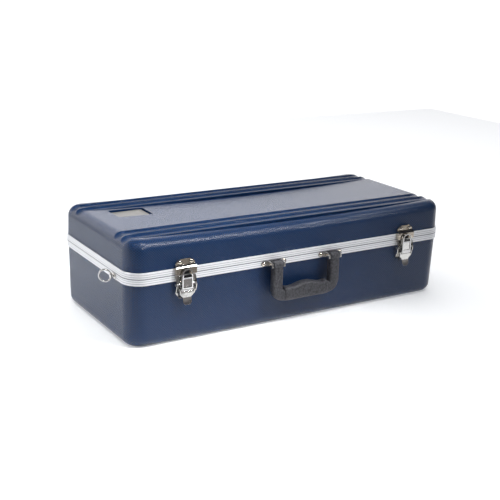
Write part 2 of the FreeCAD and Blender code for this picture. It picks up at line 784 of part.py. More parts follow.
def lid_pad():
    """Padded lining under the lid's ceiling."""
    piece = Piece("lid_pad")
    ceiling = LID_CEILING - z.groove_depth - z.lid_pad_clearance
    inset = INNER_INSET + z.lining_side_clearance + (ceiling - BAND_TOP) * LEAN
    block = piece.sketch("XY_Plane", ceiling)
    rounded_box(block, inset - HALF_LENGTH, inset - HALF_WIDTH, HALF_LENGTH - inset,
                HALF_WIDTH - inset, z.lining_corner_radius)
    piece.pad(block, z.lid_pad_thickness, reverse=True)
    top, bottom = ceiling.value, (ceiling - z.lid_pad_thickness).value
    piece.round_edges(lambda edge: spans(edge, top, top), z.inner_edge_radius)
    piece.round_edges(lambda edge: spans(edge, bottom, bottom), z.lid_pad_edge_radius)
    return piece.body


def hinge_leaf(name, middle, upper):
    """One leaf of a back hinge, with its knuckles rolled round the pin."""
    label = "hinge_%s_%s_leaf" % (name, "lid" if upper else "base")
    piece = Piece(label, BACK, middle, HALF_WIDTH)
    step = 1 if upper else -1
    half = z.hinge_width / 2
    near = z.parting_height + step * (z.hinge_knuckle_radius + z.hinge_leaf_relief)
    far = near + step * z.hinge_leaf_height
    low, high = (near, far) if upper else (far, near)
    leaf = piece.sketch("XZ_Plane", z.plate_fit)
    box_outline(leaf, -half, low, half, high)
    piece.pad(leaf, z.plate_thickness)
    centre_out = z.plate_fit + z.hinge_knuckle_radius
    share = z.hinge_width / 5
    for slot in ((1, 3) if upper else (0, 2, 4)):
        start = share * slot - half + z.hinge_knuckle_gap / 2
        tab = piece.sketch("XZ_Plane", z.plate_fit)
        low, high = (z.parting_height, near) if upper else (near, z.parting_height)
        box_outline(tab, start, low, start + share - z.hinge_knuckle_gap, high)
        piece.pad(tab, z.plate_thickness)
        roll = piece.sketch("YZ_Plane", start)
        circle(roll, -centre_out, z.parting_height, z.hinge_knuckle_radius)
        piece.pad(roll, share - z.hinge_knuckle_gap)
    bore = piece.sketch("YZ_Plane", -half - EXTRA)
    circle(bore, -centre_out, z.parting_height, z.hinge_pin_radius + z.pin_clearance)
    piece.pocket(bore, z.hinge_width + 2 * EXTRA, reverse=True)
    holes = piece.sketch("XZ_Plane", PLATE_FRONT + EXTRA)
    for side in (-1, 1):
        circle(holes, side * z.hinge_rivet_spacing, z.parting_height + step * z.hinge_rivet_height,
               z.small_shank + z.rivet_hole_clearance)
    piece.pocket(holes, z.plate_thickness + 2 * EXTRA)
    return piece.body


def pin(label, place, radius, length):
    """Plain round pin that lies along X."""
    shape = doc.addObject("Part::Cylinder", label)
    shape.Label = label
    bind(shape, "Radius", radius)
    bind(shape, "Height", length)
    lying = Rotation(Y_AXIS, 90)
    bind_place(shape, Placement(Vector(*[Size.of(one).value for one in place]), lying), place)
    return shape


def rivet(label, wall, along, height, face, grip, shank, head_rim, head_height):
    """Round-headed rivet through one wall: head outside, tail turned over inside.

    The wall says which way it faces, face is how far the head's seat stands out from the
    band, and grip is how much the rivet holds between its head and its tail.
    """
    parts = []
    head = doc.addObject("Part::Ellipsoid", label + "_head")
    bind(head, "Radius1", head_height)
    bind(head, "Radius2", shank + head_rim)
    bind(head, "Radius3", shank + head_rim)
    head.Angle1 = 0
    head.Angle2 = 90
    parts.append(head)
    stem = doc.addObject("Part::Cylinder", label + "_stem")
    bind(stem, "Radius", shank)
    bind(stem, "Height", grip + z.rivet_tail_height)
    drop = -(grip + z.rivet_tail_height)
    bind_place(stem, Placement(Vector(0, 0, drop.value), Rotation()), (0, 0, drop))
    parts.append(stem)
    tail = doc.addObject("Part::Cylinder", label + "_tail")
    bind(tail, "Radius", shank + z.rivet_tail_rim)
    bind(tail, "Height", z.rivet_tail_height)
    bind_place(tail, Placement(Vector(0, 0, drop.value), Rotation()), (0, 0, drop))
    parts.append(tail)
    whole = doc.addObject("Part::MultiFuse", label)
    whole.Shapes = parts
    along, height, face = Size.of(along), Size.of(height), Size.of(face)
    spots = {
        FRONT: (along, -(HALF_WIDTH + face), height),
        BACK: (along, HALF_WIDTH + face, height),
        LEFT: (-(HALF_LENGTH + face), along, height),
        RIGHT: (HALF_LENGTH + face, along, height),
    }
    place = spots[wall]
    spin = Rotation(Z_AXIS, TURNS[wall]) * Rotation(X_AXIS, 90)
    bind_place(whole, Placement(Vector(*[one.value for one in place]), spin), place)
    return whole


def group(label, members):
    """Identical fasteners kept together as separate solids."""
    bundle = doc.addObject("Part::Compound", label)
    bundle.Label = label
    bundle.Links = members
    return bundle


def rivet_group(label, wall, places, face, grip, large=False):
    sizes = ((z.large_shank, z.large_head_rim, z.large_head_height) if large
             else (z.small_shank, z.small_head_rim, z.small_head_height))
    grip = grip if isinstance(grip, list) else [grip] * len(places)
    members = [rivet("%s_%d" % (label, n + 1), wall, along, height, face, hold, *sizes)
               for n, ((along, height), hold) in enumerate(zip(places, grip))]
    return group(label, members)


LATCH_PLATE_STEP = z.plate_fit - SHELL_INSET + z.latch_step_fit
LATCH_PLATE_FRONT = LATCH_PLATE_STEP + z.plate_thickness


def shell_grip(face, height, edge):
    """Thickness that a rivet holds through a leaning shell wall at one height."""
    return face + INNER_INSET + lean_at(height, edge) + z.shell_fit


def lean_at(height, edge):
    """How far the wall has leaned in at a height, from where its lean starts."""
    height = Size.of(height)
    gap = edge - height if edge.value > height.value else height - edge
    return gap * LEAN


BASE_LEAN_START = LOWER_RIM - z.band_web - z.shell_fit - STRAIGHT_RIM
LID_LEAN_START = UPPER_RIM + z.band_web + z.shell_fit + STRAIGHT_RIM


def latch_plate(name, hand):
    """Pressed plate of a draw latch, riveted to the base, with an ear each side."""
    piece = Piece("latch_%s_plate" % name, FRONT, hand * z.latch_offset, -HALF_WIDTH)
    half = z.latch_width / 2
    top = LOWER_RIM - z.latch_plate_below_rim
    joggle = BAND_BOTTOM - z.joggle_gap
    inner_joggle = (-LATCH_PLATE_STEP, joggle - z.joggle_inner_rise)
    profile = piece.sketch("YZ_Plane")
    outline(profile, [
        (-LATCH_PLATE_STEP, LATCH_PLATE_BOTTOM), (-LATCH_PLATE_FRONT, LATCH_PLATE_BOTTOM),
        (-LATCH_PLATE_FRONT, joggle - z.joggle_rise), (-PLATE_FRONT, joggle), (-PLATE_FRONT, top),
        (-z.plate_fit, top), (-z.plate_fit, joggle), inner_joggle,
    ])
    piece.pad(profile, z.latch_width, middle=True)
    ear = [
        (-LATCH_PLATE_STEP, LATCH_PLATE_BOTTOM), (-LATCH_PLATE_FRONT, LATCH_PLATE_BOTTOM),
        (-LATCH_PLATE_FRONT - z.ear_toe_out, LATCH_PLATE_BOTTOM + z.ear_toe_height),
        (-z.latch_ear_reach, LEVER_PIVOT - z.ear_below_pivot),
        (-z.latch_ear_reach, LEVER_PIVOT + z.ear_above_pivot),
        (-PLATE_FRONT - z.ear_shoulder_out, top - z.ear_shoulder_drop), (-PLATE_FRONT, top),
        (-z.plate_fit, top), (-z.plate_fit, joggle), inner_joggle,
    ]
    for start in (-half, half - z.plate_thickness):
        side = piece.sketch("YZ_Plane", start)
        outline(side, ear)
        piece.pad(side, z.plate_thickness)
    bevel = piece.sketch("XZ_Plane", z.latch_ear_reach + 2 * EXTRA)
    cut = z.latch_plate_chamfer
    foot = LATCH_PLATE_BOTTOM
    slim = half - cut * z.latch_plate_chamfer_share
    for side in (-1, 1):
        outline(bevel, [(side * (half + EXTRA), foot - EXTRA), (side * (half + EXTRA), foot + cut),
                        (side * half, foot + cut), (side * slim, foot),
                        (side * slim, foot - EXTRA)])
    piece.pocket(bevel, z.latch_ear_reach + 2 * EXTRA + INNER_INSET)
    pivot = piece.sketch("YZ_Plane", -half - EXTRA)
    circle(pivot, -z.lever_pivot_out, LEVER_PIVOT, z.lever_pin_radius + z.pin_clearance)
    piece.pocket(pivot, z.latch_width + 2 * EXTRA, reverse=True)
    holes = piece.sketch("XZ_Plane", z.latch_ear_reach)
    for across, height in LATCH_PLATE_RIVETS:
        circle(holes, across, height, z.small_shank + z.rivet_hole_clearance)
    piece.pocket(holes, z.latch_ear_reach + INNER_INSET)
    return piece.body


def lever_pins(name, hand):
    """The two stub pins that the lever's arms turn on, one in each ear."""
    half = z.latch_width / 2
    length = half - z.lever_arm_inside + z.pin_end
    members = []
    for side in (-1, 1):
        start = hand * z.latch_offset + (z.lever_arm_inside if side > 0 else -half - z.pin_end)
        place = (start, -(HALF_WIDTH + z.lever_pivot_out), LEVER_PIVOT)
        label = "latch_%s_lever_pin_%d" % (name, (side + 3) // 2)
        members.append(pin(label, place, z.lever_pin_radius, length))
    return group("latch_%s_lever_pins" % name, members)


def latch_lever(name, hand):
    """Lever of a draw latch: two arms on the ears, and the tongue that is pulled."""
    piece = Piece("latch_%s_lever" % name, FRONT, hand * z.latch_offset, -HALF_WIDTH)
    inside, thick = z.lever_arm_inside, z.lever_arm_thickness
    outside = inside + thick
    a_out, a_up = z.lever_pivot_out, LEVER_PIVOT
    b_out, b_up = z.hook_pivot_out, HOOK_PIVOT
    eye, barrel = z.lever_eye_radius, z.hook_barrel_radius
    plate_back, plate_front = z.tongue_plate_out, z.tongue_plate_out + z.tongue_plate_thickness
    top = b_up - barrel - z.yoke_gap
    slim = top - z.yoke_height
    neck = top - z.yoke_taper_end
    flat, barrel_flat = z.lever_eye_flat, z.lever_barrel_flat
    arm = [
        (-(a_out - eye), a_up - flat), (-(a_out - eye), a_up + flat), (-(a_out - flat), a_up + eye),
        (-(a_out + flat), a_up + eye), (-(a_out + eye), a_up + flat),
        (-(b_out + barrel), b_up + barrel_flat), (-(b_out + barrel), b_up - barrel_flat),
        (-plate_front, slim), (-plate_back, slim), (-(b_out - barrel), b_up - barrel_flat),
    ]
    for start in (-outside, inside):
        side = piece.sketch("YZ_Plane", start)
        outline(side, arm)
        piece.pad(side, thick)
    yoke = piece.sketch("XZ_Plane", plate_back)
    half = z.tongue_width / 2
    outline(yoke, [(-outside, top), (outside, top), (outside, slim), (half, neck), (-half, neck),
                   (-outside, slim)])
    piece.pad(yoke, z.tongue_plate_thickness)
    bend = TONGUE_END + z.tongue_bend_height
    flick = z.tongue_flick
    tongue = piece.sketch("YZ_Plane")
    outline(tongue, [(-plate_back, top), (-plate_front, top), (-plate_front, bend),
                     (-(plate_front + flick), TONGUE_END), (-(plate_back + flick), TONGUE_END),
                     (-plate_back, bend)])
    piece.pad(tongue, z.tongue_width, middle=True)
    end = TONGUE_END.value

    def tip_corner(edge):
        box = edge.BoundBox
        return spans(edge, end, end) and abs(box.XMax - box.XMin) < 0.01

    piece.round_edges(tip_corner, z.tongue_corner_radius)
    for (out, up) in ((a_out, a_up), (b_out, b_up)):
        bore = piece.sketch("YZ_Plane", -outside - EXTRA)
        circle(bore, -out, up, z.hook_pin_radius + z.pin_clearance)
        piece.pocket(bore, 2 * outside + 2 * EXTRA, reverse=True)
    return piece.body


def hook_pin(name, hand):
    """Pin held in the lever's arms, on which the hook turns."""
    outside = z.lever_arm_inside + z.lever_arm_thickness + z.pin_end
    place = (hand * z.latch_offset - outside, -(HALF_WIDTH + z.hook_pivot_out), HOOK_PIVOT)
    return pin("latch_%s_hook_pin" % name, place, z.hook_pin_radius, 2 * outside)


def latch_hook(name, hand):
    """Hook of a draw latch: an arched frame that reaches over the catch."""
    piece = Piece("latch_%s_hook" % name, FRONT, hand * z.latch_offset, -HALF_WIDTH)
    half = z.hook_width / 2
    front = z.hook_pivot_out + z.hook_barrel_radius
    back = front - z.hook_thickness
    face = piece.sketch("XZ_Plane", back)
    box_outline(face, -half, HOOK_PIVOT, half, HOOK_ARCH)
    piece.pad(face, z.hook_thickness)
    crown = piece.sketch("XZ_Plane", back)
    circle(crown, 0, HOOK_ARCH, half)
    piece.pad(crown, z.hook_thickness)
    for start in (-half, half - z.plate_thickness):
        cheek = piece.sketch("YZ_Plane", start)
        outline(cheek, [(-front, HOOK_PIVOT + z.hook_cheek_foot),
                        (-back, HOOK_PIVOT + z.hook_cheek_foot),
                        (-(back - z.hook_cheek_depth), HOOK_PIVOT + z.hook_cheek_heel),
                        (-(back - z.hook_cheek_depth), HOOK_ARCH - z.hook_cheek_drop),
                        (-back, HOOK_ARCH), (-front, HOOK_ARCH)])
        piece.pad(cheek, z.plate_thickness)
    roll = piece.sketch("YZ_Plane")
    circle(roll, -z.hook_pivot_out, HOOK_PIVOT, z.hook_barrel_radius)
    piece.pad(roll, z.hook_width, middle=True)
    bore = piece.sketch("YZ_Plane", -half - EXTRA)
    circle(bore, -z.hook_pivot_out, HOOK_PIVOT, z.hook_pin_radius + z.pin_clearance)
    piece.pocket(bore, z.hook_width + 2 * EXTRA, reverse=True)
    sill = HOOK_ARCH - z.hook_sill_drop
    window = piece.sketch("XZ_Plane", front + EXTRA)
    circle(window, 0, HOOK_ARCH, half - z.hook_frame)
    piece.pocket(window, z.hook_thickness + 2 * EXTRA)
    sill_bar = piece.sketch("XZ_Plane", back)
    box_outline(sill_bar, -half, sill - z.hook_sill_height, half, sill)
    piece.pad(sill_bar, z.hook_thickness)
    panel = piece.sketch("XZ_Plane", front + EXTRA)
    box_outline(panel, z.hook_frame - half, HOOK_PIVOT + z.hook_panel_foot,
                half - z.hook_frame, sill - z.hook_panel_head)
    piece.pocket(panel, z.hook_panel_depth + EXTRA)
    return piece.body


def latch_catch(name, hand):
    """Catch on the lid: a domed plate with a hood and a lip behind the hook's arch."""
    piece = Piece("latch_%s_catch" % name, FRONT, hand * z.latch_offset, -HALF_WIDTH)
    half = z.latch_width / 2
    step = BAND_TOP + z.catch_step_gap
    low, high = CATCH_BOTTOM, CATCH_TOP
    brow = low + z.catch_brow_height
    profile = piece.sketch("YZ_Plane")
    outline(profile, [
        (-z.plate_fit, low), (-z.catch_hood_out, low),
        (-z.catch_hood_out, low + z.catch_face_height),
        (-z.catch_hood_out + z.catch_brow_slope, brow - z.catch_brow_drop), (-PLATE_FRONT, brow),
        (-PLATE_FRONT, high), (-LATCH_PLATE_STEP, high), (-LATCH_PLATE_STEP, step),
        (-z.plate_fit, step),
    ])
    piece.pad(profile, z.latch_width, middle=True)
    shoulder = piece.sketch("XZ_Plane", z.catch_hood_out + EXTRA)
    slim = half * z.catch_crown_share
    start = brow - z.catch_shoulder_drop
    for side in (-1, 1):
        outline(shoulder, [(side * (half + EXTRA), start), (side * half, start),
                           (side * (half - z.catch_crown_out), high - z.catch_crown_low),
                           (side * (half - z.catch_crown_in), high - z.catch_crown_high),
                           (side * slim, high), (side * slim, high + EXTRA),
                           (side * (half + EXTRA), high + EXTRA)])
    piece.pocket(shoulder, z.catch_hood_out + EXTRA + INNER_INSET)
    hollow = piece.sketch("XY_Plane", low - EXTRA)
    wall = z.catch_hood_wall
    box_outline(hollow, wall - half, wall - z.catch_hood_out, half - wall, -PLATE_FRONT)
    piece.pocket(hollow, z.catch_hollow_height + EXTRA, reverse=True)
    mouth = piece.sketch("XZ_Plane", z.catch_hood_out + EXTRA)
    gap = z.hook_width / 2 - z.hook_frame - z.catch_mouth_clearance
    box_outline(mouth, -gap, low - EXTRA, gap, low + z.catch_mouth_height)
    piece.pocket(mouth, z.catch_hood_out + EXTRA - PLATE_FRONT)
    lip = piece.sketch("YZ_Plane")
    root = z.catch_lip_overlap - PLATE_FRONT
    thick = z.catch_lip_thickness
    outline(lip, [(root, low + z.catch_lip_root), (-z.catch_lip_reach, low + z.catch_lip_edge),
                  (-z.catch_lip_reach, low + z.catch_lip_edge + thick),
                  (root, low + z.catch_lip_root + thick)])
    piece.pad(lip, gap, middle=True)
    holes = piece.sketch("XZ_Plane", z.catch_hood_out + EXTRA)
    for side in (-1, 1):
        circle(holes, side * z.catch_rivet_spacing, CATCH_RIVET,
               z.large_shank + z.rivet_hole_clearance)
    piece.pocket(holes, z.catch_hood_out + INNER_INSET)
    return piece.body


def handle_bracket(name, hand):
    """Saddle that holds one end of the handle: a foot, two legs and a round bar."""
    piece = Piece("handle_%s_bracket" % name, FRONT, hand * z.handle_spacing, -HALF_WIDTH)
    foot = piece.sketch("XZ_Plane", z.plate_fit)
    long, tall = z.bracket_half_length, z.bracket_foot_height / 2
    rounded_box(foot, -long, BAND_MIDDLE - tall, long, BAND_MIDDLE + tall,
                tall - z.bracket_foot_flat)
    piece.pad(foot, z.plate_thickness)
    axis_out, radius = z.handle_axis_out, z.bracket_leg_radius
    for start in (-(z.bracket_leg_inside + z.bracket_leg_thickness), z.bracket_leg_inside):
        leg = piece.sketch("YZ_Plane", start)
        rounded_box(leg, -(axis_out + radius), BAND_MIDDLE - radius, -z.plate_fit,
                    BAND_MIDDLE + radius, z.bracket_leg_edge)
        piece.pad(leg, z.bracket_leg_thickness)

    bar = piece.sketch("YZ_Plane", -z.bracket_leg_inside)
    circle(bar, -axis_out, BAND_MIDDLE, z.handle_bar_radius)
    piece.pad(bar, 2 * z.bracket_leg_inside)
    holes = piece.sketch("XZ_Plane", PLATE_FRONT + EXTRA)
    for side in (-1, 1):
        circle(holes, side * z.bracket_rivet_spacing, BAND_MIDDLE,
               z.large_shank + z.rivet_hole_clearance)
    piece.pocket(holes, z.plate_thickness + 2 * EXTRA)
    return piece.body


def handle():
    """Moulded handle: a square-cornered loop with an eye at each end, and a fuller grip."""
    piece = Piece("handle", FRONT, 0.0, -HALF_WIDTH)
    axis, eye = z.handle_axis_out, z.handle_eye_radius
    middle, half_arm = z.handle_spacing, z.handle_arm_width / 2
    bend = z.handle_corner_radius - half_arm
    rail = z.handle_bottom + half_arm
    pivot = BAND_MIDDLE
    path = piece.sketch("XZ_Plane", axis)
    spots = [(-middle, pivot), (-middle, rail + bend), (bend - middle, rail),
             (middle - bend, rail), (middle, rail + bend), (middle, pivot)]
    spots = [(Size.of(across), up) for across, up in spots]
    for start, end in ((0, 1), (2, 3), (4, 5)):
        ends = [Vector(spots[n][0].value, spots[n][1].value, 0) for n in (start, end)]
        path.addGeometry(Part.LineSegment(*ends), False)
    for hand in (-1, 1):
        centre = Vector(hand * (middle - bend).value, (rail + bend).value, 0)
        ring = Part.Circle(centre, Vector(0, 0, 1), bend.value)
        begin = math.pi if hand < 0 else 1.5 * math.pi
        path.addGeometry(Part.ArcOfCircle(ring, begin, begin + math.pi / 2), False)
    joins = [(0, 2, 3, 1), (3, 2, 1, 1), (1, 2, 4, 1), (4, 2, 2, 1)]
    for items in joins:
        path.addConstraint(Sketcher.Constraint("Tangent", *items))
    path.addConstraint(Sketcher.Constraint("Equal", 3, 4))
    fix(path, "Radius", (3,), bend)
    fix_point(path, 0, 1, -middle, pivot)
    fix_point(path, 2, 2, middle, pivot)
    fix(path, "DistanceY", (1, 1), rail)
    path.addConstraint(Sketcher.Constraint("Vertical", 0))
    path.addConstraint(Sketcher.Constraint("Vertical", 2))
    section = piece.sketch("XY_Plane", pivot)
    rounded_box(section, -middle - half_arm, -axis - eye, half_arm - middle, eye - axis,
                z.handle_edge_radius)
    loop = piece.feature("AdditivePipe")
    loop.Profile = (section, [""])
    loop.Spine = (path, [])
    piece.made(loop)
    for hand in (-1, 1):
        end = piece.sketch("YZ_Plane", hand * middle - half_arm)
        circle(end, -axis, pivot, eye)
        piece.pad(end, z.handle_arm_width)
    half_deep = z.handle_grip_depth / 2
    grip = piece.sketch("YZ_Plane")
    rounded_box(grip, -axis - half_deep, z.handle_bottom - z.handle_grip_swell,
                half_deep - axis, z.handle_grip_top, z.grip_edge_radius)
    piece.pad(grip, 2 * z.handle_grip_half, middle=True)
    bump = piece.body.newObject("PartDesign::AdditiveEllipsoid", piece.name("swell"))
    tall = z.handle_grip_top - z.handle_bottom
    bind(bump, "Radius1", (tall + z.handle_grip_bump) / 2)
    bind(bump, "Radius2", z.handle_bump_half)
    bind(bump, "Radius3", half_deep)
    centre = (0.0, -axis, z.handle_bottom + (tall + z.handle_grip_bump) / 2)
    bind_place(bump, Placement(Vector(*[Size.of(one).value for one in centre]), Rotation()),
               centre)
    piece.made(bump)
    bore = piece.sketch("YZ_Plane", -middle - half_arm - EXTRA)
    circle(bore, -axis, pivot, z.handle_bar_radius + z.pin_clearance)
    piece.pocket(bore, 2 * (middle + half_arm) + 2 * EXTRA, reverse=True)
    return piece.body


def ring_clip(name, wall, hand):
    """Strap that holds a carrying ring to the band, rolled round the ring's wire."""
    piece = Piece("ring_%s_clip" % name, wall, hand * HALF_LENGTH, z.ring_across)
    long, tall = z.clip_half_length, z.clip_height / 2
    plate = piece.sketch("XZ_Plane", z.plate_fit)
    rounded_box(plate, -long, BAND_MIDDLE - tall, long, BAND_MIDDLE + tall,
                tall * z.clip_corner_share)
    piece.pad(plate, z.plate_thickness)
    bore_radius = z.ring_wire_radius + z.clip_loop_clearance
    roll_radius = bore_radius + z.clip_loop_wall
    base = BAND_MIDDLE - z.clip_loop_height / 2
    block = piece.sketch("XY_Plane", base)
    box_outline(block, -roll_radius, -z.ring_out, roll_radius, -z.plate_fit - z.clip_loop_overlap)
    piece.pad(block, z.clip_loop_height)
    roll = piece.sketch("XY_Plane", base)
    circle(roll, 0, -z.ring_out, roll_radius)
    piece.pad(roll, z.clip_loop_height)
    bore = piece.sketch("XY_Plane", base - EXTRA)
    circle(bore, 0, -z.ring_out, bore_radius)
    piece.pocket(bore, z.clip_loop_height + 2 * EXTRA, reverse=True)
    holes = piece.sketch("XZ_Plane", PLATE_FRONT + EXTRA)
    for side in (-1, 1):
        circle(holes, side * z.clip_rivet_spacing, BAND_MIDDLE,
               z.small_shank + z.rivet_hole_clearance)
    piece.pocket(holes, z.plate_thickness + 2 * EXTRA)
    return piece.body


def carrying_ring(name, hand):
    """Round wire ring that stands out from its clip, turned a little towards the back."""
    ring = doc.addObject("Part::Torus", "ring_%s" % name)
    ring.Label = "ring_%s" % name
    bind(ring, "Radius1", z.ring_radius)
    bind(ring, "Radius2", z.ring_wire_radius)
    turn = math.radians(z.ring_turn.value)
    cosine = Size(math.cos(turn), "cos(%s)" % z.ring_turn.text)
    sine = Size(math.sin(turn), "sin(%s)" % z.ring_turn.text)
    place = (hand * (HALF_LENGTH + z.ring_out + z.ring_radius * cosine),
             z.ring_across + z.ring_radius * sine, BAND_MIDDLE)
    spin = Rotation(Z_AXIS, hand * z.ring_turn.value) * Rotation(X_AXIS, 90)
    bind_place(ring, Placement(Vector(*[one.value for one in place]), spin), place)
    ring.setExpression("Placement.Rotation.Yaw", (hand * z.ring_turn).text)
    return ring


def build():
    """Makes every sub-part and gives them as a list."""
    pieces = [base_shell(), base_band(), plush_bed(), lid_shell(), lid_band(), lid_pad(),
              badge_plate(), handle()]
    for name, middle in HINGE_PLACES:
        pieces.append(hinge_leaf(name, middle, False))
        pieces.append(hinge_leaf(name, middle, True))
        start = middle - z.hinge_width / 2 - z.hinge_pin_end
        place = (start, HALF_WIDTH + z.plate_fit + z.hinge_knuckle_radius, z.parting_height)
        length = z.hinge_width + 2 * z.hinge_pin_end
        pieces.append(pin("hinge_%s_pin" % name, place, z.hinge_pin_radius, length))
    for name, hand in SIDES:
        pieces.append(latch_plate(name, hand))
        pieces.append(lever_pins(name, hand))
        pieces.append(latch_lever(name, hand))
        pieces.append(hook_pin(name, hand))
        pieces.append(latch_hook(name, hand))
        pieces.append(latch_catch(name, hand))
        pieces.append(handle_bracket(name, hand))
        wall = LEFT if hand < 0 else RIGHT
        pieces.append(ring_clip(name, wall, hand))
        pieces.append(carrying_ring(name, hand))
        pieces.append(rivet_group("ring_%s_clip_rivets" % name, wall, clip_rivet_places(),
                                  PLATE_FRONT, BAND_STACK))
    pieces.append(rivet_group("hinge_base_rivets", BACK, hinge_rivet_places(LOWER_HINGE_RIVET),
                              PLATE_FRONT, BAND_STACK))
    pieces.append(rivet_group("hinge_lid_rivets", BACK, hinge_rivet_places(UPPER_HINGE_RIVET),
                              PLATE_FRONT, BAND_STACK))
    pieces.append(rivet_group("handle_bracket_rivets", FRONT, bracket_rivet_places(),
                              PLATE_FRONT, BAND_STACK, large=True))
    grips = [shell_grip(PLATE_FRONT, height, LID_LEAN_START) for _, height in catch_rivet_places()]
    pieces.append(rivet_group("catch_rivets", FRONT, catch_rivet_places(), PLATE_FRONT, grips,
                              large=True))
    grips = [shell_grip(LATCH_PLATE_FRONT, height, BASE_LEAN_START)
             for _, height in plate_rivet_places()]
    pieces.append(rivet_group("latch_plate_rivets", FRONT, plate_rivet_places(),
                              LATCH_PLATE_FRONT, grips))
    return pieces


def write(pieces):
    """Checks every object and writes one file for each sub-part."""
    doc.recompute()
    for thing in doc.Objects:
        if "Invalid" in thing.State or "Error" in thing.State:
            raise RuntimeError("%s is %s" % (thing.Name, thing.State))
    os.makedirs("parts", exist_ok=True)
    for thing in pieces:
        shape = thing.Shape
        if shape.isNull() or not shape.isValid():
            raise RuntimeError("%s has no valid shape" % thing.Label)
        print("%-26s %2d solids %10.1f mm3" % (thing.Label, len(shape.Solids), shape.Volume))
        shape.exportStep("parts/%s.step" % thing.Label)


write(build())
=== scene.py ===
import json
import math
import bmesh
import bpy
from mathutils import Matrix, Vector


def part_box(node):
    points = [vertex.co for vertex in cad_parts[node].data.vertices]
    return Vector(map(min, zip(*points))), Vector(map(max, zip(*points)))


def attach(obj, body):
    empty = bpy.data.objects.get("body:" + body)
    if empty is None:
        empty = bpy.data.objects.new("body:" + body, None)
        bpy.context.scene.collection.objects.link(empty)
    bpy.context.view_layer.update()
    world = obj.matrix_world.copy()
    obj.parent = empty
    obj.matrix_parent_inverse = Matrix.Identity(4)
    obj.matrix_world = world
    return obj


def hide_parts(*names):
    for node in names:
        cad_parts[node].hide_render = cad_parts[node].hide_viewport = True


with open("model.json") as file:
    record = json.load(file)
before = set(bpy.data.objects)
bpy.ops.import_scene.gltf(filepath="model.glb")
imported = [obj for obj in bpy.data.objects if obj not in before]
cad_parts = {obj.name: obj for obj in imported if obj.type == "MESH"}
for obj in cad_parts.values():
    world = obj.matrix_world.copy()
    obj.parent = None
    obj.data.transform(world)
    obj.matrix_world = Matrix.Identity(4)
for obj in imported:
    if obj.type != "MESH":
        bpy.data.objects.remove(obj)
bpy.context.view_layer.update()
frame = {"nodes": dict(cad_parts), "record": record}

# Sizes in metres, as the case is built
HALF_LENGTH = 0.325
HALF_WIDTH = 0.1403
SHELL_INSET = 0.0019
SHELL_WALL = 0.003
CORNER_RADIUS = 0.0298
DRAFT = math.tan(math.radians(1.0))
BASE_RIM = 0.11575
LID_RIM = 0.12025
LID_TOP = 0.1796
LID_SAG = 0.0047
LID_EDGE = 0.0174
PARTING = 0.118
LATCH_X = 0.228
BAND_GROOVES = (0.00358, 0.00702)


# ---------------------------------------------------------------- working at the bench
def clear():
    """Leaves nothing selected, out of edit mode."""
    if bpy.context.object and bpy.context.object.mode != "OBJECT":
        bpy.ops.object.mode_set(mode="OBJECT")
    bpy.ops.object.select_all(action="DESELECT")


def hold(piece):
    """Makes one piece the only thing in hand."""
    clear()
    piece.select_set(True)
    bpy.context.view_layer.objects.active = piece


def open_up(piece):
    hold(piece)
    bpy.ops.object.mode_set(mode="EDIT")
    bpy.ops.mesh.select_all(action="DESELECT")


def close_up():
    bpy.ops.object.mode_set(mode="OBJECT")


def pick(kind, test):
    """Selects the vertices, edges or faces of the open mesh that pass a test."""
    bpy.ops.mesh.select_mode(type=kind)
    bpy.ops.mesh.select_all(action="DESELECT")
    mesh = bmesh.from_edit_mesh(bpy.context.object.data)
    items = {"VERT": mesh.verts, "EDGE": mesh.edges, "FACE": mesh.faces}[kind]
    count = 0
    for item in items:
        if test(item):
            item.select_set(True)
            count += 1
    mesh.select_flush_mode()
    bmesh.update_edit_mesh(bpy.context.object.data)
    return count


def middle_of(item):
    if isinstance(item, bmesh.types.BMVert):
        return item.co
    total = Vector()
    for corner in item.verts:
        total += corner.co
    return total / len(item.verts)


def settle(piece):
    """Puts a piece's place and size into its mesh."""
    hold(piece)
    bpy.ops.object.transform_apply(location=True, rotation=True, scale=True)
    return piece


def block(name, low, high):
    """Square block between two corners."""
    clear()
    low, high = Vector(low), Vector(high)
    bpy.ops.mesh.primitive_cube_add(size=1.0, location=(low + high) / 2)
    piece = bpy.context.object
    piece.name = name
    piece.scale = high - low
    return settle(piece)


def finish_with(piece, kind, **settings):
    """Adds one modifier and applies it."""
    hold(piece)
    tool = piece.modifiers.new(kind.title(), kind)
    for name, setting in settings.items():
        setattr(tool, name, setting)
    bpy.ops.object.modifier_apply(modifier=tool.name)
    return piece


def smooth(piece, degrees=35.0, weighted=True):
    """Smooth shading that keeps the large flats flat and the sharp edges sharp."""
    hold(piece)
    bpy.ops.object.shade_smooth_by_angle(angle=math.radians(degrees))
    if weighted:
        finish_with(piece, "WEIGHTED_NORMAL", keep_sharp=True, weight=80)
    return piece


def mend_normals(piece):
    open_up(piece)
    bpy.ops.mesh.select_all(action="SELECT")
    bpy.ops.mesh.remove_doubles(threshold=1e-6)
    bpy.ops.mesh.normals_make_consistent(inside=False)
    close_up()
    return piece


def boolean(piece, other, operation):
    finish_with(piece, "BOOLEAN", operation=operation, object=other, solver="EXACT")
    bpy.data.objects.remove(other)
    return piece


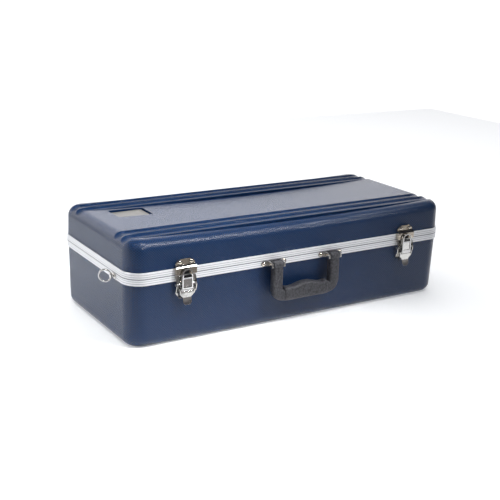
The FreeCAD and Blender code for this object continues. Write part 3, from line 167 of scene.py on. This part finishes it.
def dressed(node, edge=0.0003, segments=2, angle=35.0, pressed=None):
    """Copy of a fitting with its corners eased, as tumbled and plated parts have them."""
    source = frame["nodes"][node]
    piece = source.copy()
    piece.data = source.data.copy()
    for key in list(piece.keys()):
        del piece[key]
    piece.parent = None
    piece.name = node + "_finished"
    bpy.context.scene.collection.objects.link(piece)
    open_up(piece)
    bpy.ops.mesh.select_all(action="SELECT")
    bpy.ops.mesh.remove_doubles(threshold=2e-6)
    bpy.ops.mesh.dissolve_limited(angle_limit=math.radians(0.05), delimit={"NORMAL"})
    if pressed:
        pick("FACE", pressed)
        bpy.ops.transform.translate(value=(0, 0.0006, 0))
    close_up()
    if piece.data.has_custom_normals:
        hold(piece)
        bpy.ops.mesh.customdata_custom_splitnormals_clear()
    if edge:
        finish_with(piece, "BEVEL", width=edge, segments=segments, limit_method="ANGLE",
                    angle_limit=math.radians(angle), harden_normals=False,
                    use_clamp_overlap=True, miter_outer="MITER_ARC")
    smooth(piece, 40.0)
    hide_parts(node)
    return piece


def hook_panel(face):
    """The panel pressed into the front of a hook."""
    across = [corner.co.x for corner in face.verts]
    return (face.normal.y < -0.99 and len(face.verts) == 4
            and max(across) - min(across) > 0.012 and face.calc_area() > 1.8e-4)


def twin(piece, node, model):
    """Second fitting of a pair, moved along from the finished first one."""
    other = piece.copy()
    other.data = piece.data.copy()
    for key in list(other.keys()):
        del other[key]
    other.parent = None
    other.name = node + "_finished"
    bpy.context.scene.collection.objects.link(other)
    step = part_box(node)[0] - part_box(model)[0]
    open_up(other)
    bpy.ops.mesh.select_all(action="SELECT")
    bpy.ops.transform.translate(value=(step.x, 0, 0))
    close_up()
    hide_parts(node)
    return other


# ---------------------------------------------------------------- finishes
class Wire:
    """A shader value that is reckoned with like a number."""

    def __init__(self, finish, socket):
        self.finish = finish
        self.socket = socket

    def __add__(self, other):
        return self.finish.reckon("ADD", self, other)

    def __radd__(self, other):
        return self.finish.reckon("ADD", other, self)

    def __sub__(self, other):
        return self.finish.reckon("SUBTRACT", self, other)

    def __rsub__(self, other):
        return self.finish.reckon("SUBTRACT", other, self)

    def __mul__(self, other):
        return self.finish.reckon("MULTIPLY", self, other)

    def __rmul__(self, other):
        return self.finish.reckon("MULTIPLY", other, self)

    def __truediv__(self, other):
        return self.finish.reckon("DIVIDE", self, other)

    def __abs__(self):
        return self.finish.reckon("ABSOLUTE", self, 0.0)

    def __gt__(self, other):
        return self.finish.reckon("GREATER_THAN", self, other)

    def __lt__(self, other):
        return self.finish.reckon("LESS_THAN", self, other)

    def wave(self, length):
        """Sine of this distance, once every length."""
        return self.finish.reckon("SINE", self * (2 * math.pi / length), 0.0)


class Finish:
    """A material, or the room's light, and the bench it is mixed on."""

    def __init__(self, name, room=False):
        kinds = bpy.data.worlds if room else bpy.data.materials
        self.material = kinds.new(name)
        self.material.use_nodes = True
        self.tree = self.material.node_tree
        self.tree.nodes.clear()

    def add(self, kind, settings=None, sockets=None, out=0):
        node = self.tree.nodes.new(kind)
        for name, setting in (settings or {}).items():
            if name == "stops":
                stops = node.color_ramp.elements
                while len(stops) < len(setting):
                    stops.new(0.5)
                for stop, (place, colour) in zip(stops, setting):
                    stop.position = place
                    stop.color = colour
            else:
                setattr(node, name, setting)
        for key, value in (sockets or {}).items():
            if isinstance(value, Wire):
                self.tree.links.new(value.socket, node.inputs[key])
            else:
                node.inputs[key].default_value = value
        return Wire(self, node.outputs[out])

    def reckon(self, operation, first, second):
        return self.add("ShaderNodeMath", {"operation": operation}, {0: first, 1: second})

    def place(self):
        """Where a point of the piece is, in metres, as x, y and z."""
        where = self.add("ShaderNodeTexCoord", out=3)
        return where, [self.add("ShaderNodeSeparateXYZ", None, {0: where}, out=n)
                       for n in range(3)]

    def facing(self):
        """Which way the surface faces, as x, y and z."""
        way = self.add("ShaderNodeTexCoord", out=1)
        return [self.add("ShaderNodeSeparateXYZ", None, {0: way}, out=n) for n in range(3)]

    def noise(self, where, scale, detail=2.0, roughness=0.5, distortion=0.0):
        return self.add("ShaderNodeTexNoise", None,
                        {"Vector": where, "Scale": scale, "Detail": detail,
                         "Roughness": roughness, "Distortion": distortion})

    def cells(self, where, scale, feature="F1", out=0):
        return self.add("ShaderNodeTexVoronoi", {"feature": feature},
                        {"Vector": where, "Scale": scale}, out=out)

    def stretched(self, where, scale):
        return self.add("ShaderNodeMapping", None, {"Vector": where, "Scale": scale})

    def ramp(self, factor, stops):
        return self.add("ShaderNodeValToRGB", {"stops": stops}, {0: factor})

    def blend(self, factor, first, second):
        """Colour between two colours."""
        return self.add("ShaderNodeMix", {"data_type": "RGBA"}, {0: factor, 6: first, 7: second},
                        out=2)

    def choose(self, factor, first, second):
        """Number between two numbers."""
        return first + factor * (second - first)

    def bump(self, height, distance, strength=1.0, under=None):
        sockets = {"Height": height, "Distance": distance, "Strength": strength}
        if under is not None:
            sockets["Normal"] = under
        return self.add("ShaderNodeBump", None, sockets)

    def surface(self, **sockets):
        named = {name.replace("_", " "): value for name, value in sockets.items()}
        shader = self.add("ShaderNodeBsdfPrincipled", None, named)
        output = self.tree.nodes.new("ShaderNodeOutputMaterial")
        self.tree.links.new(shader.socket, output.inputs[0])
        return self.material


def navy_grained_plastic():
    """Moulded plastic sheet with a fine diamond grain pressed into it, and painted shade in the grain's
    valleys.
    """
    mix = Finish("navy_grained_plastic")
    where, (x, y, z) = mix.place()
    nx, ny, nz = [abs(one) for one in mix.facing()]
    on_top = nz > 0.72
    on_end = nx > ny
    along = mix.choose(on_end * (1.0 - on_top), x, y)
    up = mix.choose(on_top, z, y)
    pitch = 0.0042
    grain = mix.reckon("MAXIMUM", (along + up).wave(pitch), (along - up).wave(pitch))
    pores = mix.noise(where, 2600.0, 1.0)
    cloud = mix.noise(where, 14.0, 2.0)
    scuff = mix.noise(mix.stretched(where, (9.0, 60.0, 60.0)), 5.0, 4.0, 0.7)
    raised = mix.blend(cloud, (0.0052, 0.0260, 0.084, 1), (0.0066, 0.0310, 0.099, 1))
    # Painted shade: the grain's valleys are coloured far darker than its ridges.
    colour = mix.blend(grain * 0.5 + 0.5, (0.0005, 0.0035, 0.014, 1), raised)
    rough = 0.20 + cloud * 0.04 + scuff * 0.06
    relief = mix.bump(grain + pores * 0.3, 0.00024, 0.8)
    return mix.surface(Base_Color=colour, Roughness=rough, Normal=relief, IOR=1.43)


def drawn_aluminium():
    """Pale extruded aluminium with drawn lines along it, painted shade along each groove and at the parting
    gap.
    """
    mix = Finish("drawn_aluminium")
    where, (x, y, z) = mix.place()
    lines = mix.noise(mix.stretched(where, (4.0, 4.0, 2600.0)), 1.0, 3.0, 0.6)
    dull = mix.noise(where, 30.0, 2.0)
    height = abs(z - PARTING)
    lowest = mix.reckon("MINIMUM", abs(height - BAND_GROOVES[0]), abs(height - BAND_GROOVES[1]))
    # Painted shade: darker bands where the band's groove lines run.
    groove_shade = lowest < 0.00045
    # Painted shade: a dark line either side of the parting gap between the two bands.
    parting_shade = height < 0.00075
    colour = mix.blend(lines, (0.80, 0.81, 0.84, 1), (0.92, 0.93, 0.95, 1))
    colour = mix.blend(groove_shade, colour, (0.42, 0.43, 0.45, 1))
    colour = mix.blend(parting_shade, colour, (0.16, 0.16, 0.18, 1))
    relief = mix.bump(lines, 0.00007, 0.5)
    return mix.surface(Base_Color=colour, Metallic=0.30, Roughness=0.38 + dull * 0.08,
                       Normal=relief)


def bright_plating(name="bright_plating", tint=(0.70, 0.69, 0.67)):
    """Nickel and chrome plate over pressed steel, a little wavy."""
    mix = Finish(name)
    where, _ = mix.place()
    waves = mix.noise(where, 160.0, 2.0)
    smear = mix.noise(mix.stretched(where, (60.0, 60.0, 14.0)), 4.0, 3.0, 0.6)
    colour = mix.blend(smear, tuple(0.88 * one for one in tint) + (1,), tint + (1,))
    relief = mix.bump(waves, 0.0004, 0.25)
    return mix.surface(Base_Color=colour, Metallic=1.0, Roughness=0.07 + smear * 0.10,
                       Normal=relief)


def shaded_plating():
    """Warm plate over the catches, with painted shade where the hook's opening shows it and on the up-facing
    step over the bend.
    """
    mix = Finish("shaded_plating")
    where, (x, y, z) = mix.place()
    smear = mix.noise(mix.stretched(where, (60.0, 60.0, 14.0)), 4.0, 3.0, 0.6)
    colour = mix.blend(smear, (0.52, 0.46, 0.38, 1), (0.66, 0.60, 0.52, 1))
    # Painted shade: dark, dull plate where the hook's opening shows the catch.
    inside = (abs(abs(x) - LATCH_X) < 0.0074) * (z < 0.1262)
    colour = mix.blend(inside, colour, (0.02, 0.02, 0.022, 1))
    # Painted shade: the up-facing step over the bend is darkened in patches, dimming its bright reflection.
    step = (z > 0.1270) * (z < 0.1345) * (mix.facing()[2] > 0.3)
    patchy = mix.noise(mix.stretched(where, (1.0, 1.0, 0.2)), 420.0, 2.0)
    step_shade_colour = mix.blend((patchy - 0.45) * 5.0, (0.05, 0.05, 0.05, 1), (0.34, 0.33, 0.33, 1))
    colour = mix.blend(step, colour, step_shade_colour)
    rough = 0.10 + smear * 0.10 + inside * 0.4
    relief = mix.bump(mix.noise(where, 160.0, 2.0), 0.0004, 0.25)
    return mix.surface(Base_Color=colour, Metallic=1.0, Roughness=rough, Normal=relief)


def framed_plating():
    """Plate of the hooks: painted highlights as a frame and cross strips round the panel and a band round the
    arch, and painted shade as a dark arch.
    """
    mix = Finish("framed_plating")
    where, (x, y, z) = mix.place()
    smear = mix.noise(mix.stretched(where, (60.0, 60.0, 14.0)), 4.0, 3.0, 0.6)
    colour = mix.blend(smear, (0.60, 0.59, 0.58, 1), (0.72, 0.71, 0.69, 1))
    across = abs(abs(x) - LATCH_X)
    # Painted highlights: light strips down the panel's edges and across it.
    highlight_sides = (across > 0.0078) * (across < 0.0094) * (z > 0.0956) * (z < 0.1140)
    highlight_bars = (z > 0.1120) * (z < 0.1140) + (z > 0.0956) * (z < 0.0972)
    highlight_bars = highlight_bars + (z > 0.0926) * (z < 0.0940)
    side, rise = across / 0.0078, (z - 0.1148) / 0.0072
    arch = side * side + rise * rise
    # Painted shade: a dark arch painted on the plate about the hook's small real opening.
    painted_opening_shade = (arch < 1.0) * (z > 0.1148)
    # Painted highlight: a light band round the dark arch.
    rim = (arch < 1.45) * (z > 0.1148) * (1.0 - painted_opening_shade)
    painted_highlight = mix.reckon("MINIMUM", highlight_sides + highlight_bars * (across < 0.0094) + rim, 1.0)
    colour = mix.blend(painted_highlight, colour, (0.88, 0.88, 0.90, 1))
    colour = mix.blend(painted_opening_shade, colour, (0.015, 0.015, 0.018, 1))
    metal = 1.0 - painted_highlight * 0.7 - painted_opening_shade * 0.6
    relief = mix.bump(mix.noise(where, 160.0, 2.0), 0.0004, 0.25)
    return mix.surface(Base_Color=colour, Metallic=metal,
                       Roughness=0.08 + smear * 0.10 + painted_highlight * 0.25, Normal=relief)


def plain_steel():
    mix = Finish("plain_steel")
    where, _ = mix.place()
    turned = mix.noise(mix.stretched(where, (3000.0, 40.0, 40.0)), 1.0, 2.0)
    colour = mix.blend(turned, (0.42, 0.42, 0.43, 1), (0.55, 0.55, 0.56, 1))
    return mix.surface(Base_Color=colour, Metallic=1.0, Roughness=0.25 + turned * 0.15)


def pebbled_black():
    """Black moulded plastic with a leather-like pebble grain, the middle of each pebble painted lighter as a
    highlight.
    """
    mix = Finish("pebbled_black")
    where, _ = mix.place()
    pebbles = mix.cells(where, 310.0)
    fine = mix.noise(where, 2400.0, 2.0)
    worn = mix.noise(where, 24.0, 3.0, 0.6)
    colour = mix.blend(worn, (0.008, 0.008, 0.011, 1), (0.014, 0.014, 0.018, 1))
    # Painted highlight: each pebble is lighter towards its middle.
    colour = mix.blend(pebbles, (0.070, 0.070, 0.080, 1), colour)
    relief = mix.bump(fine * 0.3 - pebbles, 0.00080, 1.0)
    return mix.surface(Base_Color=colour, Roughness=0.38 + worn * 0.12, Normal=relief, IOR=1.45)


def short_plush():
    """Short black pile."""
    mix = Finish("short_plush")
    where, _ = mix.place()
    pile = mix.noise(where, 1500.0, 3.0, 0.7)
    nap = mix.noise(where, 22.0, 3.0, 0.6, 0.6)
    colour = mix.blend(nap, (0.010, 0.010, 0.012, 1), (0.026, 0.026, 0.030, 1))
    relief = mix.bump(pile + nap * 2.0, 0.0006, 0.8)
    return mix.surface(Base_Color=colour, Roughness=0.95, Normal=relief, Sheen_Weight=0.45,
                       Sheen_Roughness=0.4, Specular_IOR_Level=0.15)


def satin_plate():
    """Blank plate, brushed along its length."""
    mix = Finish("satin_plate")
    where, _ = mix.place()
    brush = mix.noise(mix.stretched(where, (16.0, 2400.0, 16.0)), 1.0, 3.0, 0.7)
    colour = mix.blend(brush, (0.12, 0.12, 0.115, 1), (0.23, 0.225, 0.21, 1))
    relief = mix.bump(brush, 0.00003, 0.5)
    return mix.surface(Base_Color=colour, Metallic=0.35, Roughness=0.36 + brush * 0.14,
                       Normal=relief)


def white_paper():
    mix = Finish("white_paper")
    return mix.surface(Base_Color=(0.80, 0.80, 0.80, 1), Roughness=0.9,
                       Emission_Color=(0.96, 0.98, 1.0, 1), Emission_Strength=0.36)


# ---------------------------------------------------------------- moulded shells
def tub(name, rim, end, edge_radius):
    """Tub with round corners, leaning walls and a rounded closed end; its rim face is left closed."""
    low, high = sorted((rim, end))
    half_long, half_wide = HALF_LENGTH - SHELL_INSET, HALF_WIDTH - SHELL_INSET
    piece = block(name, (-half_long, -half_wide, low), (half_long, half_wide, high))
    lean = (high - low) * DRAFT
    open_up(piece)
    pick("FACE", lambda face: abs(middle_of(face).z - end) < 1e-5)
    bpy.ops.transform.resize(value=(1 - lean / half_long, 1 - lean / half_wide, 1))
    pick("EDGE", lambda edge: abs(edge.verts[0].co.z - edge.verts[1].co.z) > 0.01)
    bpy.ops.mesh.bevel(offset=CORNER_RADIUS, segments=16, affect="EDGES")
    pick("EDGE", lambda edge: all(abs(one.co.z - end) < 1e-5 for one in edge.verts))
    bpy.ops.mesh.bevel(offset=edge_radius, segments=12, affect="EDGES")
    close_up()
    return piece


def open_rim(piece, rim):
    open_up(piece)
    pick("FACE", lambda face: abs(face.normal.z) > 0.99 and abs(middle_of(face).z - rim) < 1e-4)
    bpy.ops.mesh.delete(type="FACE")
    close_up()


def make_base_shell():
    piece = tub("base_shell_moulded", BASE_RIM, 0.0, 0.0158)
    open_rim(piece, BASE_RIM)
    finish_with(piece, "SOLIDIFY", thickness=SHELL_WALL, offset=-1.0, use_even_offset=False)
    smooth(piece, 40.0)
    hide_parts("base_shell")
    return piece


def dish(x):
    """How far the lid's top has sunk below its ends."""
    return LID_SAG * (1 - min(1.0, (x / HALF_LENGTH) ** 2))


def sink_columns(piece, above, straight=0.3005):
    """Lowers the cuts across a piece so that it follows the dished lid."""
    open_up(piece)
    mesh = bmesh.from_edit_mesh(piece.data)
    columns = sorted({round(one.co.x, 5) for one in mesh.verts
                      if one.co.z > above and abs(one.co.x) < straight})
    for x in columns:
        pick("VERT", lambda one: abs(one.co.x - x) < 5.001e-6 and one.co.z > above)
        bpy.ops.transform.translate(value=(0, 0, -dish(x)))
    pick("VERT", lambda one: abs(one.co.x) >= straight and one.co.z > above)
    bpy.ops.transform.translate(value=(0, 0, -dish(straight)))
    close_up()


def slice_across(piece, step):
    open_up(piece)
    count = int(HALF_LENGTH / step)
    for n in range(-count, count + 1):
        bpy.ops.mesh.select_all(action="SELECT")
        bpy.ops.mesh.bisect(plane_co=(n * step, 0, 0), plane_no=(1, 0, 0))
    close_up()


GROOVE_ROWS = (-0.104, -0.0795, 0.0795, 0.104)
GROOVE_HALF_WIDTH = 0.0112
GROOVE_DEPTH = 0.0030


def groove_bar(across):
    """Round bar that shapes one groove: along the lid, then down over each rounded end."""
    radius = (GROOVE_HALF_WIDTH ** 2 + GROOVE_DEPTH ** 2) / (2 * GROOVE_DEPTH)
    turn = HALF_LENGTH - SHELL_INSET - (LID_TOP - LID_RIM) * DRAFT - LID_EDGE
    fall = math.radians(25.0)
    clear()
    bpy.ops.mesh.primitive_circle_add(
        radius=radius, vertices=120, fill_type="NOTHING",
        location=(-turn, across, LID_TOP - GROOVE_DEPTH + radius), rotation=(0, math.pi / 2, 0))
    bar = settle(bpy.context.object)
    open_up(bar)
    bpy.ops.mesh.select_all(action="SELECT")
    bpy.ops.mesh.extrude_region_move(TRANSFORM_OT_translate={"value": (2 * turn, 0, 0)})
    for hand in (-1, 1):
        pick("VERT", lambda one: abs(one.co.x - hand * turn) < 1e-6)
        bpy.ops.mesh.spin(steps=6, angle=-hand * fall, axis=(0, 1, 0),
                          center=(hand * turn, across, LID_TOP - LID_EDGE))
        bpy.ops.mesh.extrude_region_move(TRANSFORM_OT_translate={
            "value": (hand * 0.04 * math.cos(fall), 0, -0.04 * math.sin(fall))})
        bpy.ops.mesh.edge_face_add()
    close_up()
    return mend_normals(bar)


def make_lid_shell():
    piece = tub("lid_shell_moulded", LID_RIM, LID_TOP, LID_EDGE)
    slice_across(piece, 0.02)
    for across in GROOVE_ROWS:
        boolean(piece, groove_bar(across), "DIFFERENCE")
    sink_columns(piece, 0.1605)
    low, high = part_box("badge_plate")
    gap = 0.0045
    cutter = block("badge_recess", (low.x - gap, low.y - gap, low.z - 0.00005),
                   (high.x + gap, high.y + gap, 0.19))
    open_up(cutter)
    pick("EDGE", lambda edge: abs(edge.verts[0].co.z - edge.verts[1].co.z) > 0.005)
    bpy.ops.mesh.bevel(offset=0.004, segments=5, affect="EDGES")
    close_up()
    boolean(piece, cutter, "DIFFERENCE")
    open_rim(piece, LID_RIM)
    finish_with(piece, "BEVEL", width=0.0008, segments=3, limit_method="ANGLE",
                angle_limit=math.radians(14))
    finish_with(piece, "SOLIDIFY", thickness=SHELL_WALL, offset=-1.0, use_even_offset=False)
    smooth(piece, 32.0)
    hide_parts("lid_shell")
    return piece


# ---------------------------------------------------------------- handle
def make_handle():
    """Moulded handle: one half drawn from eye to middle, then mirrored."""
    low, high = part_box("handle")
    axis = Vector((0.059, (low.y + high.y) / 2, 0.1127))
    bottom = 0.0475
    half_arm, deep = 0.00965, 0.0070
    piece = block("handle_moulded", (-axis.x - half_arm, axis.y - deep, axis.z - 0.012),
                  (-axis.x + half_arm, axis.y + deep, axis.z))
    open_up(piece)
    pick("EDGE", lambda edge: abs(edge.verts[0].co.z - edge.verts[1].co.z) > 0.005)
    bpy.ops.mesh.bevel(offset=0.0040, segments=4, affect="EDGES")
    pick("FACE", lambda face: face.normal.z < -0.9)
    turn = 0.0118
    for drop in (0.011, 0.012, axis.z - 0.035 - (bottom + half_arm + turn)):
        bpy.ops.mesh.extrude_region_move(TRANSFORM_OT_translate={"value": (0, 0, -drop)})
    bend = Vector((turn - axis.x, axis.y, bottom + half_arm + turn))
    bpy.ops.mesh.spin(steps=8, angle=math.pi / 2, center=bend, axis=(0, 1, 0))
    # Along the grip: how far from the middle, underside, top and half depth
    for along, under, top, half_deep in (
            (0.0462, 0.0475, 0.0668, 0.0070), (0.0456, 0.0483, 0.0660, 0.0062),
            (0.0449, 0.0472, 0.0698, 0.0084), (0.0430, 0.0468, 0.0714, 0.0091),
            (0.0360, 0.0467, 0.0702, 0.0092), (0.0280, 0.0467, 0.0703, 0.0092),
            (0.0190, 0.0467, 0.0726, 0.0092), (0.0090, 0.0467, 0.0752, 0.0092),
            (0.0000, 0.0467, 0.0760, 0.0092)):
        bpy.ops.mesh.extrude_region_move(TRANSFORM_OT_translate={"value": (0.0005, 0, 0)})
        mesh = bmesh.from_edit_mesh(piece.data)
        ring = [one.co for one in mesh.verts if one.select]
        floor, roof = min(one.z for one in ring), max(one.z for one in ring)
        breadth = max(one.y for one in ring) - min(one.y for one in ring)
        now = Vector((ring[0].x, axis.y, (floor + roof) / 2))
        bpy.ops.transform.resize(value=(1, 2 * half_deep / breadth, (top - under) / (roof - floor)))
        bpy.ops.transform.translate(value=(-along - now.x, 0, (top + under) / 2 - now.z))
    bpy.ops.mesh.delete(type="FACE")
    close_up()
    finish_with(piece, "MIRROR", use_axis=(True, False, False), use_clip=True,
                merge_threshold=1e-4)
    mend_normals(piece)
    finish_with(piece, "SUBSURF", levels=2, render_levels=2)
    for hand in (-1, 1):
        clear()
        bpy.ops.mesh.primitive_cylinder_add(
            radius=0.007, depth=2 * half_arm, vertices=64,
            location=(hand * axis.x, axis.y, axis.z), rotation=(0, math.pi / 2, 0))
        knuckle = settle(bpy.context.object)
        finish_with(knuckle, "BEVEL", width=0.0012, segments=3, limit_method="ANGLE",
                    angle_limit=math.radians(50))
        boolean(piece, knuckle, "UNION")
        clear()
        bpy.ops.mesh.primitive_cylinder_add(
            radius=0.00306, depth=0.05, vertices=48,
            location=(hand * axis.x, axis.y, axis.z), rotation=(0, math.pi / 2, 0))
        boolean(piece, settle(bpy.context.object), "DIFFERENCE")
    smooth(piece, 45.0, weighted=False)
    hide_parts("handle")
    return piece


# ---------------------------------------------------------------- lining
def soft(node, name, voxel, rounds):
    """Padded form of a lining block, its corners drawn soft by the cloth over them."""
    source = frame["nodes"][node]
    piece = source.copy()
    piece.data = source.data.copy()
    for key in list(piece.keys()):
        del piece[key]
    piece.parent = None
    piece.name = name
    bpy.context.scene.collection.objects.link(piece)
    open_up(piece)
    bpy.ops.mesh.select_all(action="SELECT")
    bpy.ops.mesh.remove_doubles(threshold=2e-6)
    close_up()
    if piece.data.has_custom_normals:
        bpy.ops.mesh.customdata_custom_splitnormals_clear()
    finish_with(piece, "REMESH", mode="VOXEL", voxel_size=voxel)
    finish_with(piece, "SMOOTH", factor=0.5, iterations=rounds)
    hold(piece)
    bpy.ops.object.shade_smooth()
    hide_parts(node)
    return piece


# ---------------------------------------------------------------- putting it together
NAVY = navy_grained_plastic()
ALUMINIUM = drawn_aluminium()
PLATING = bright_plating()
WARM_PLATING = bright_plating("warm_plating", (0.66, 0.60, 0.52))
SHADED = shaded_plating()
FRAMED = framed_plating()
STEEL = plain_steel()
BLACK = pebbled_black()
PLUSH = short_plush()
SATIN = satin_plate()
PAPER = white_paper()


def give(piece, finish, body):
    """Lays a finish on a piece and sets it on its body."""
    piece.data.materials.clear()
    piece.data.materials.append(finish)
    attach(piece, body)


give(make_base_shell(), NAVY, "base")
give(make_lid_shell(), NAVY, "lid")
give(dressed("base_band", 0.00016), ALUMINIUM, "base")
give(dressed("lid_band", 0.00016), ALUMINIUM, "lid")
give(make_handle(), BLACK, "handle")
plate = dressed("badge_plate", 0.0004)
open_up(plate)
bpy.ops.mesh.select_all(action="SELECT")
bpy.ops.transform.translate(value=(0, 0, 0.0008))
close_up()
give(plate, SATIN, "lid")
bed = soft("plush_bed", "plush_bed_padded", 0.005, 4)
give(bed, PLUSH, "base")
cover = soft("lid_pad", "lid_pad_padded", 0.005, 4)
give(cover, PLUSH, "lid")

BODY_OF = {node: body for body, nodes in frame["record"]["behaviour"]["bodies"].items()
           for node in nodes}
DONE = {"base_shell", "lid_shell", "base_band", "lid_band", "handle", "badge_plate",
        "plush_bed", "lid_pad", "latch_left_lever", "latch_right_lever",
        "latch_left_hook", "latch_right_hook"}
lever = dressed("latch_left_lever", 0.00025)
hook = dressed("latch_left_hook", 0.00025, pressed=hook_panel)
give(twin(lever, "latch_right_lever", "latch_left_lever"), PLATING,
     "latch_right_lever")
give(twin(hook, "latch_right_hook", "latch_left_hook"), FRAMED, "latch_right_hook")
give(lever, PLATING, "latch_left_lever")
give(hook, FRAMED, "latch_left_hook")
for node in sorted(frame["nodes"]):
    if node in DONE:
        continue
    if node.endswith("pin") or node.endswith("pins"):
        give(dressed(node, 0.0002), STEEL, BODY_OF[node])
    elif "rivets" in node:
        warm = node in ("catch_rivets", "handle_bracket_rivets")
        give(dressed(node, 0.0), WARM_PLATING if warm else PLATING, BODY_OF[node])
    elif node.endswith("catch"):
        give(dressed(node, 0.00025), SHADED, BODY_OF[node])
    elif node.startswith("ring") and not node.endswith("clip"):
        give(dressed(node, 0.0), PLATING, BODY_OF[node])
    else:
        give(dressed(node, 0.00025), PLATING, BODY_OF[node])


# ---------------------------------------------------------------- studio
def studio():
    """White sweep, a big soft light overhead and a smaller one for the edges."""
    clear()
    bpy.ops.mesh.primitive_plane_add(size=1.0, location=(0, 0.6612, 0))
    bpy.context.object.scale = (4.0, 2.0776, 1.0)
    floor = settle(bpy.context.object)
    floor.name = "studio_floor"
    for hand in (-1, 1):
        open_up(floor)
        pick("VERT", lambda one: one.co.y < 0 and one.co.x * hand > 0)
        bpy.ops.transform.translate(value=(0, -hand * 0.36, 0))
        close_up()
    floor.data.materials.append(PAPER)

    room = Finish("studio", room=True)
    where = room.add("ShaderNodeTexCoord", out=0)
    across, deep, high = (room.add("ShaderNodeSeparateXYZ", None, {0: where}, out=n)
                          for n in range(3))
    walls = room.ramp(high * 0.5 + 0.5, [(0.0, (0.10, 0.10, 0.11, 1)), (0.48, (0.16, 0.16, 0.17, 1)),
                                         (0.54, (2.30, 2.27, 2.28, 1)), (0.72, (2.30, 2.27, 2.28, 1)),
                                         (0.79, (0.18, 0.19, 0.21, 1)), (1.0, (0.10, 0.11, 0.13, 1))])
    front = room.ramp(high * 0.5 + 0.5, [(0.0, (0.28, 0.27, 0.27, 1)), (0.46, (0.26, 0.25, 0.25, 1)),
                                         (0.5, (0.07, 0.07, 0.08, 1)), (1.0, (0.11, 0.12, 0.14, 1))])
    behind = room.ramp(deep * 0.5 + 0.5 - across * 0.12, [(0.55, (0, 0, 0, 1)), (0.62, (0.55, 0.55, 0.55, 1)),
                                             (0.90, (1, 1, 1, 1))])
    lit = room.blend(behind, front, walls)
    seen = room.add("ShaderNodeLightPath", out=0)
    colour = room.blend(seen, lit, (1.1, 1.1, 1.1, 1))
    glow = room.add("ShaderNodeBackground", None, {"Color": colour, "Strength": 1.0})
    out = room.tree.nodes.new("ShaderNodeOutputWorld")
    room.tree.links.new(glow.socket, out.inputs[0])
    bpy.context.scene.world = room.material

    for name, place, target, size, power, spread, mirrored in (
            ("ceiling", (0.0, 0.5, 2.4), (0.0, 0.5, 0.0), (3.4, 3.4), 64.0, 180.0, False),
            ("softbox", (0.45, -0.95, 1.30), (-0.24, -0.12, 0.17), (0.40, 0.24), 1.6, 38.0, True),
            ("side lamp", (-0.68, -0.87, 1.43), (-0.31, -0.13, 0.17), (0.16, 0.16), 0.30, 40.0,
             True)):
        lamp = bpy.data.lights.new(name, "AREA")
        lamp.shape = "RECTANGLE"
        lamp.size, lamp.size_y = size
        lamp.energy = power
        lamp.spread = math.radians(spread)
        stand = bpy.data.objects.new(name, lamp)
        bpy.context.scene.collection.objects.link(stand)
        stand.location = place
        aim = Vector(target) - Vector(place)
        stand.rotation_euler = aim.to_track_quat("-Z", "Y").to_euler()
        stand.visible_glossy = mirrored
    bpy.context.scene.view_settings.view_transform = "Standard"


def camera():
    """Camera where the photographer stood: to the left of the front and a little above."""
    yaw, pitch, roll = (math.radians(angle) for angle in (32.705, 17.143, 2.041))
    back = Vector((-math.sin(yaw) * math.cos(pitch), -math.cos(yaw) * math.cos(pitch),
                   math.sin(pitch)))
    level = Vector((0, 0, 1)).cross(back).normalized()
    upright = back.cross(level)
    right = level * math.cos(roll) + upright * math.sin(roll)
    up = upright * math.cos(roll) - level * math.sin(roll)
    place = Vector((-0.9008, -1.3768, 0.5941))
    view = bpy.data.cameras.new("camera")
    view.sensor_width = 36.0
    view.lens = 933.138 / 500 * 36.0
    view.clip_start, view.clip_end = 0.05, 100.0
    stand = bpy.data.objects.new("camera", view)
    bpy.context.scene.collection.objects.link(stand)
    turn = Matrix((right, up, back)).transposed().to_4x4()
    stand.matrix_world = Matrix.Translation(place) @ turn
    bpy.context.scene.camera = stand


studio()
camera()
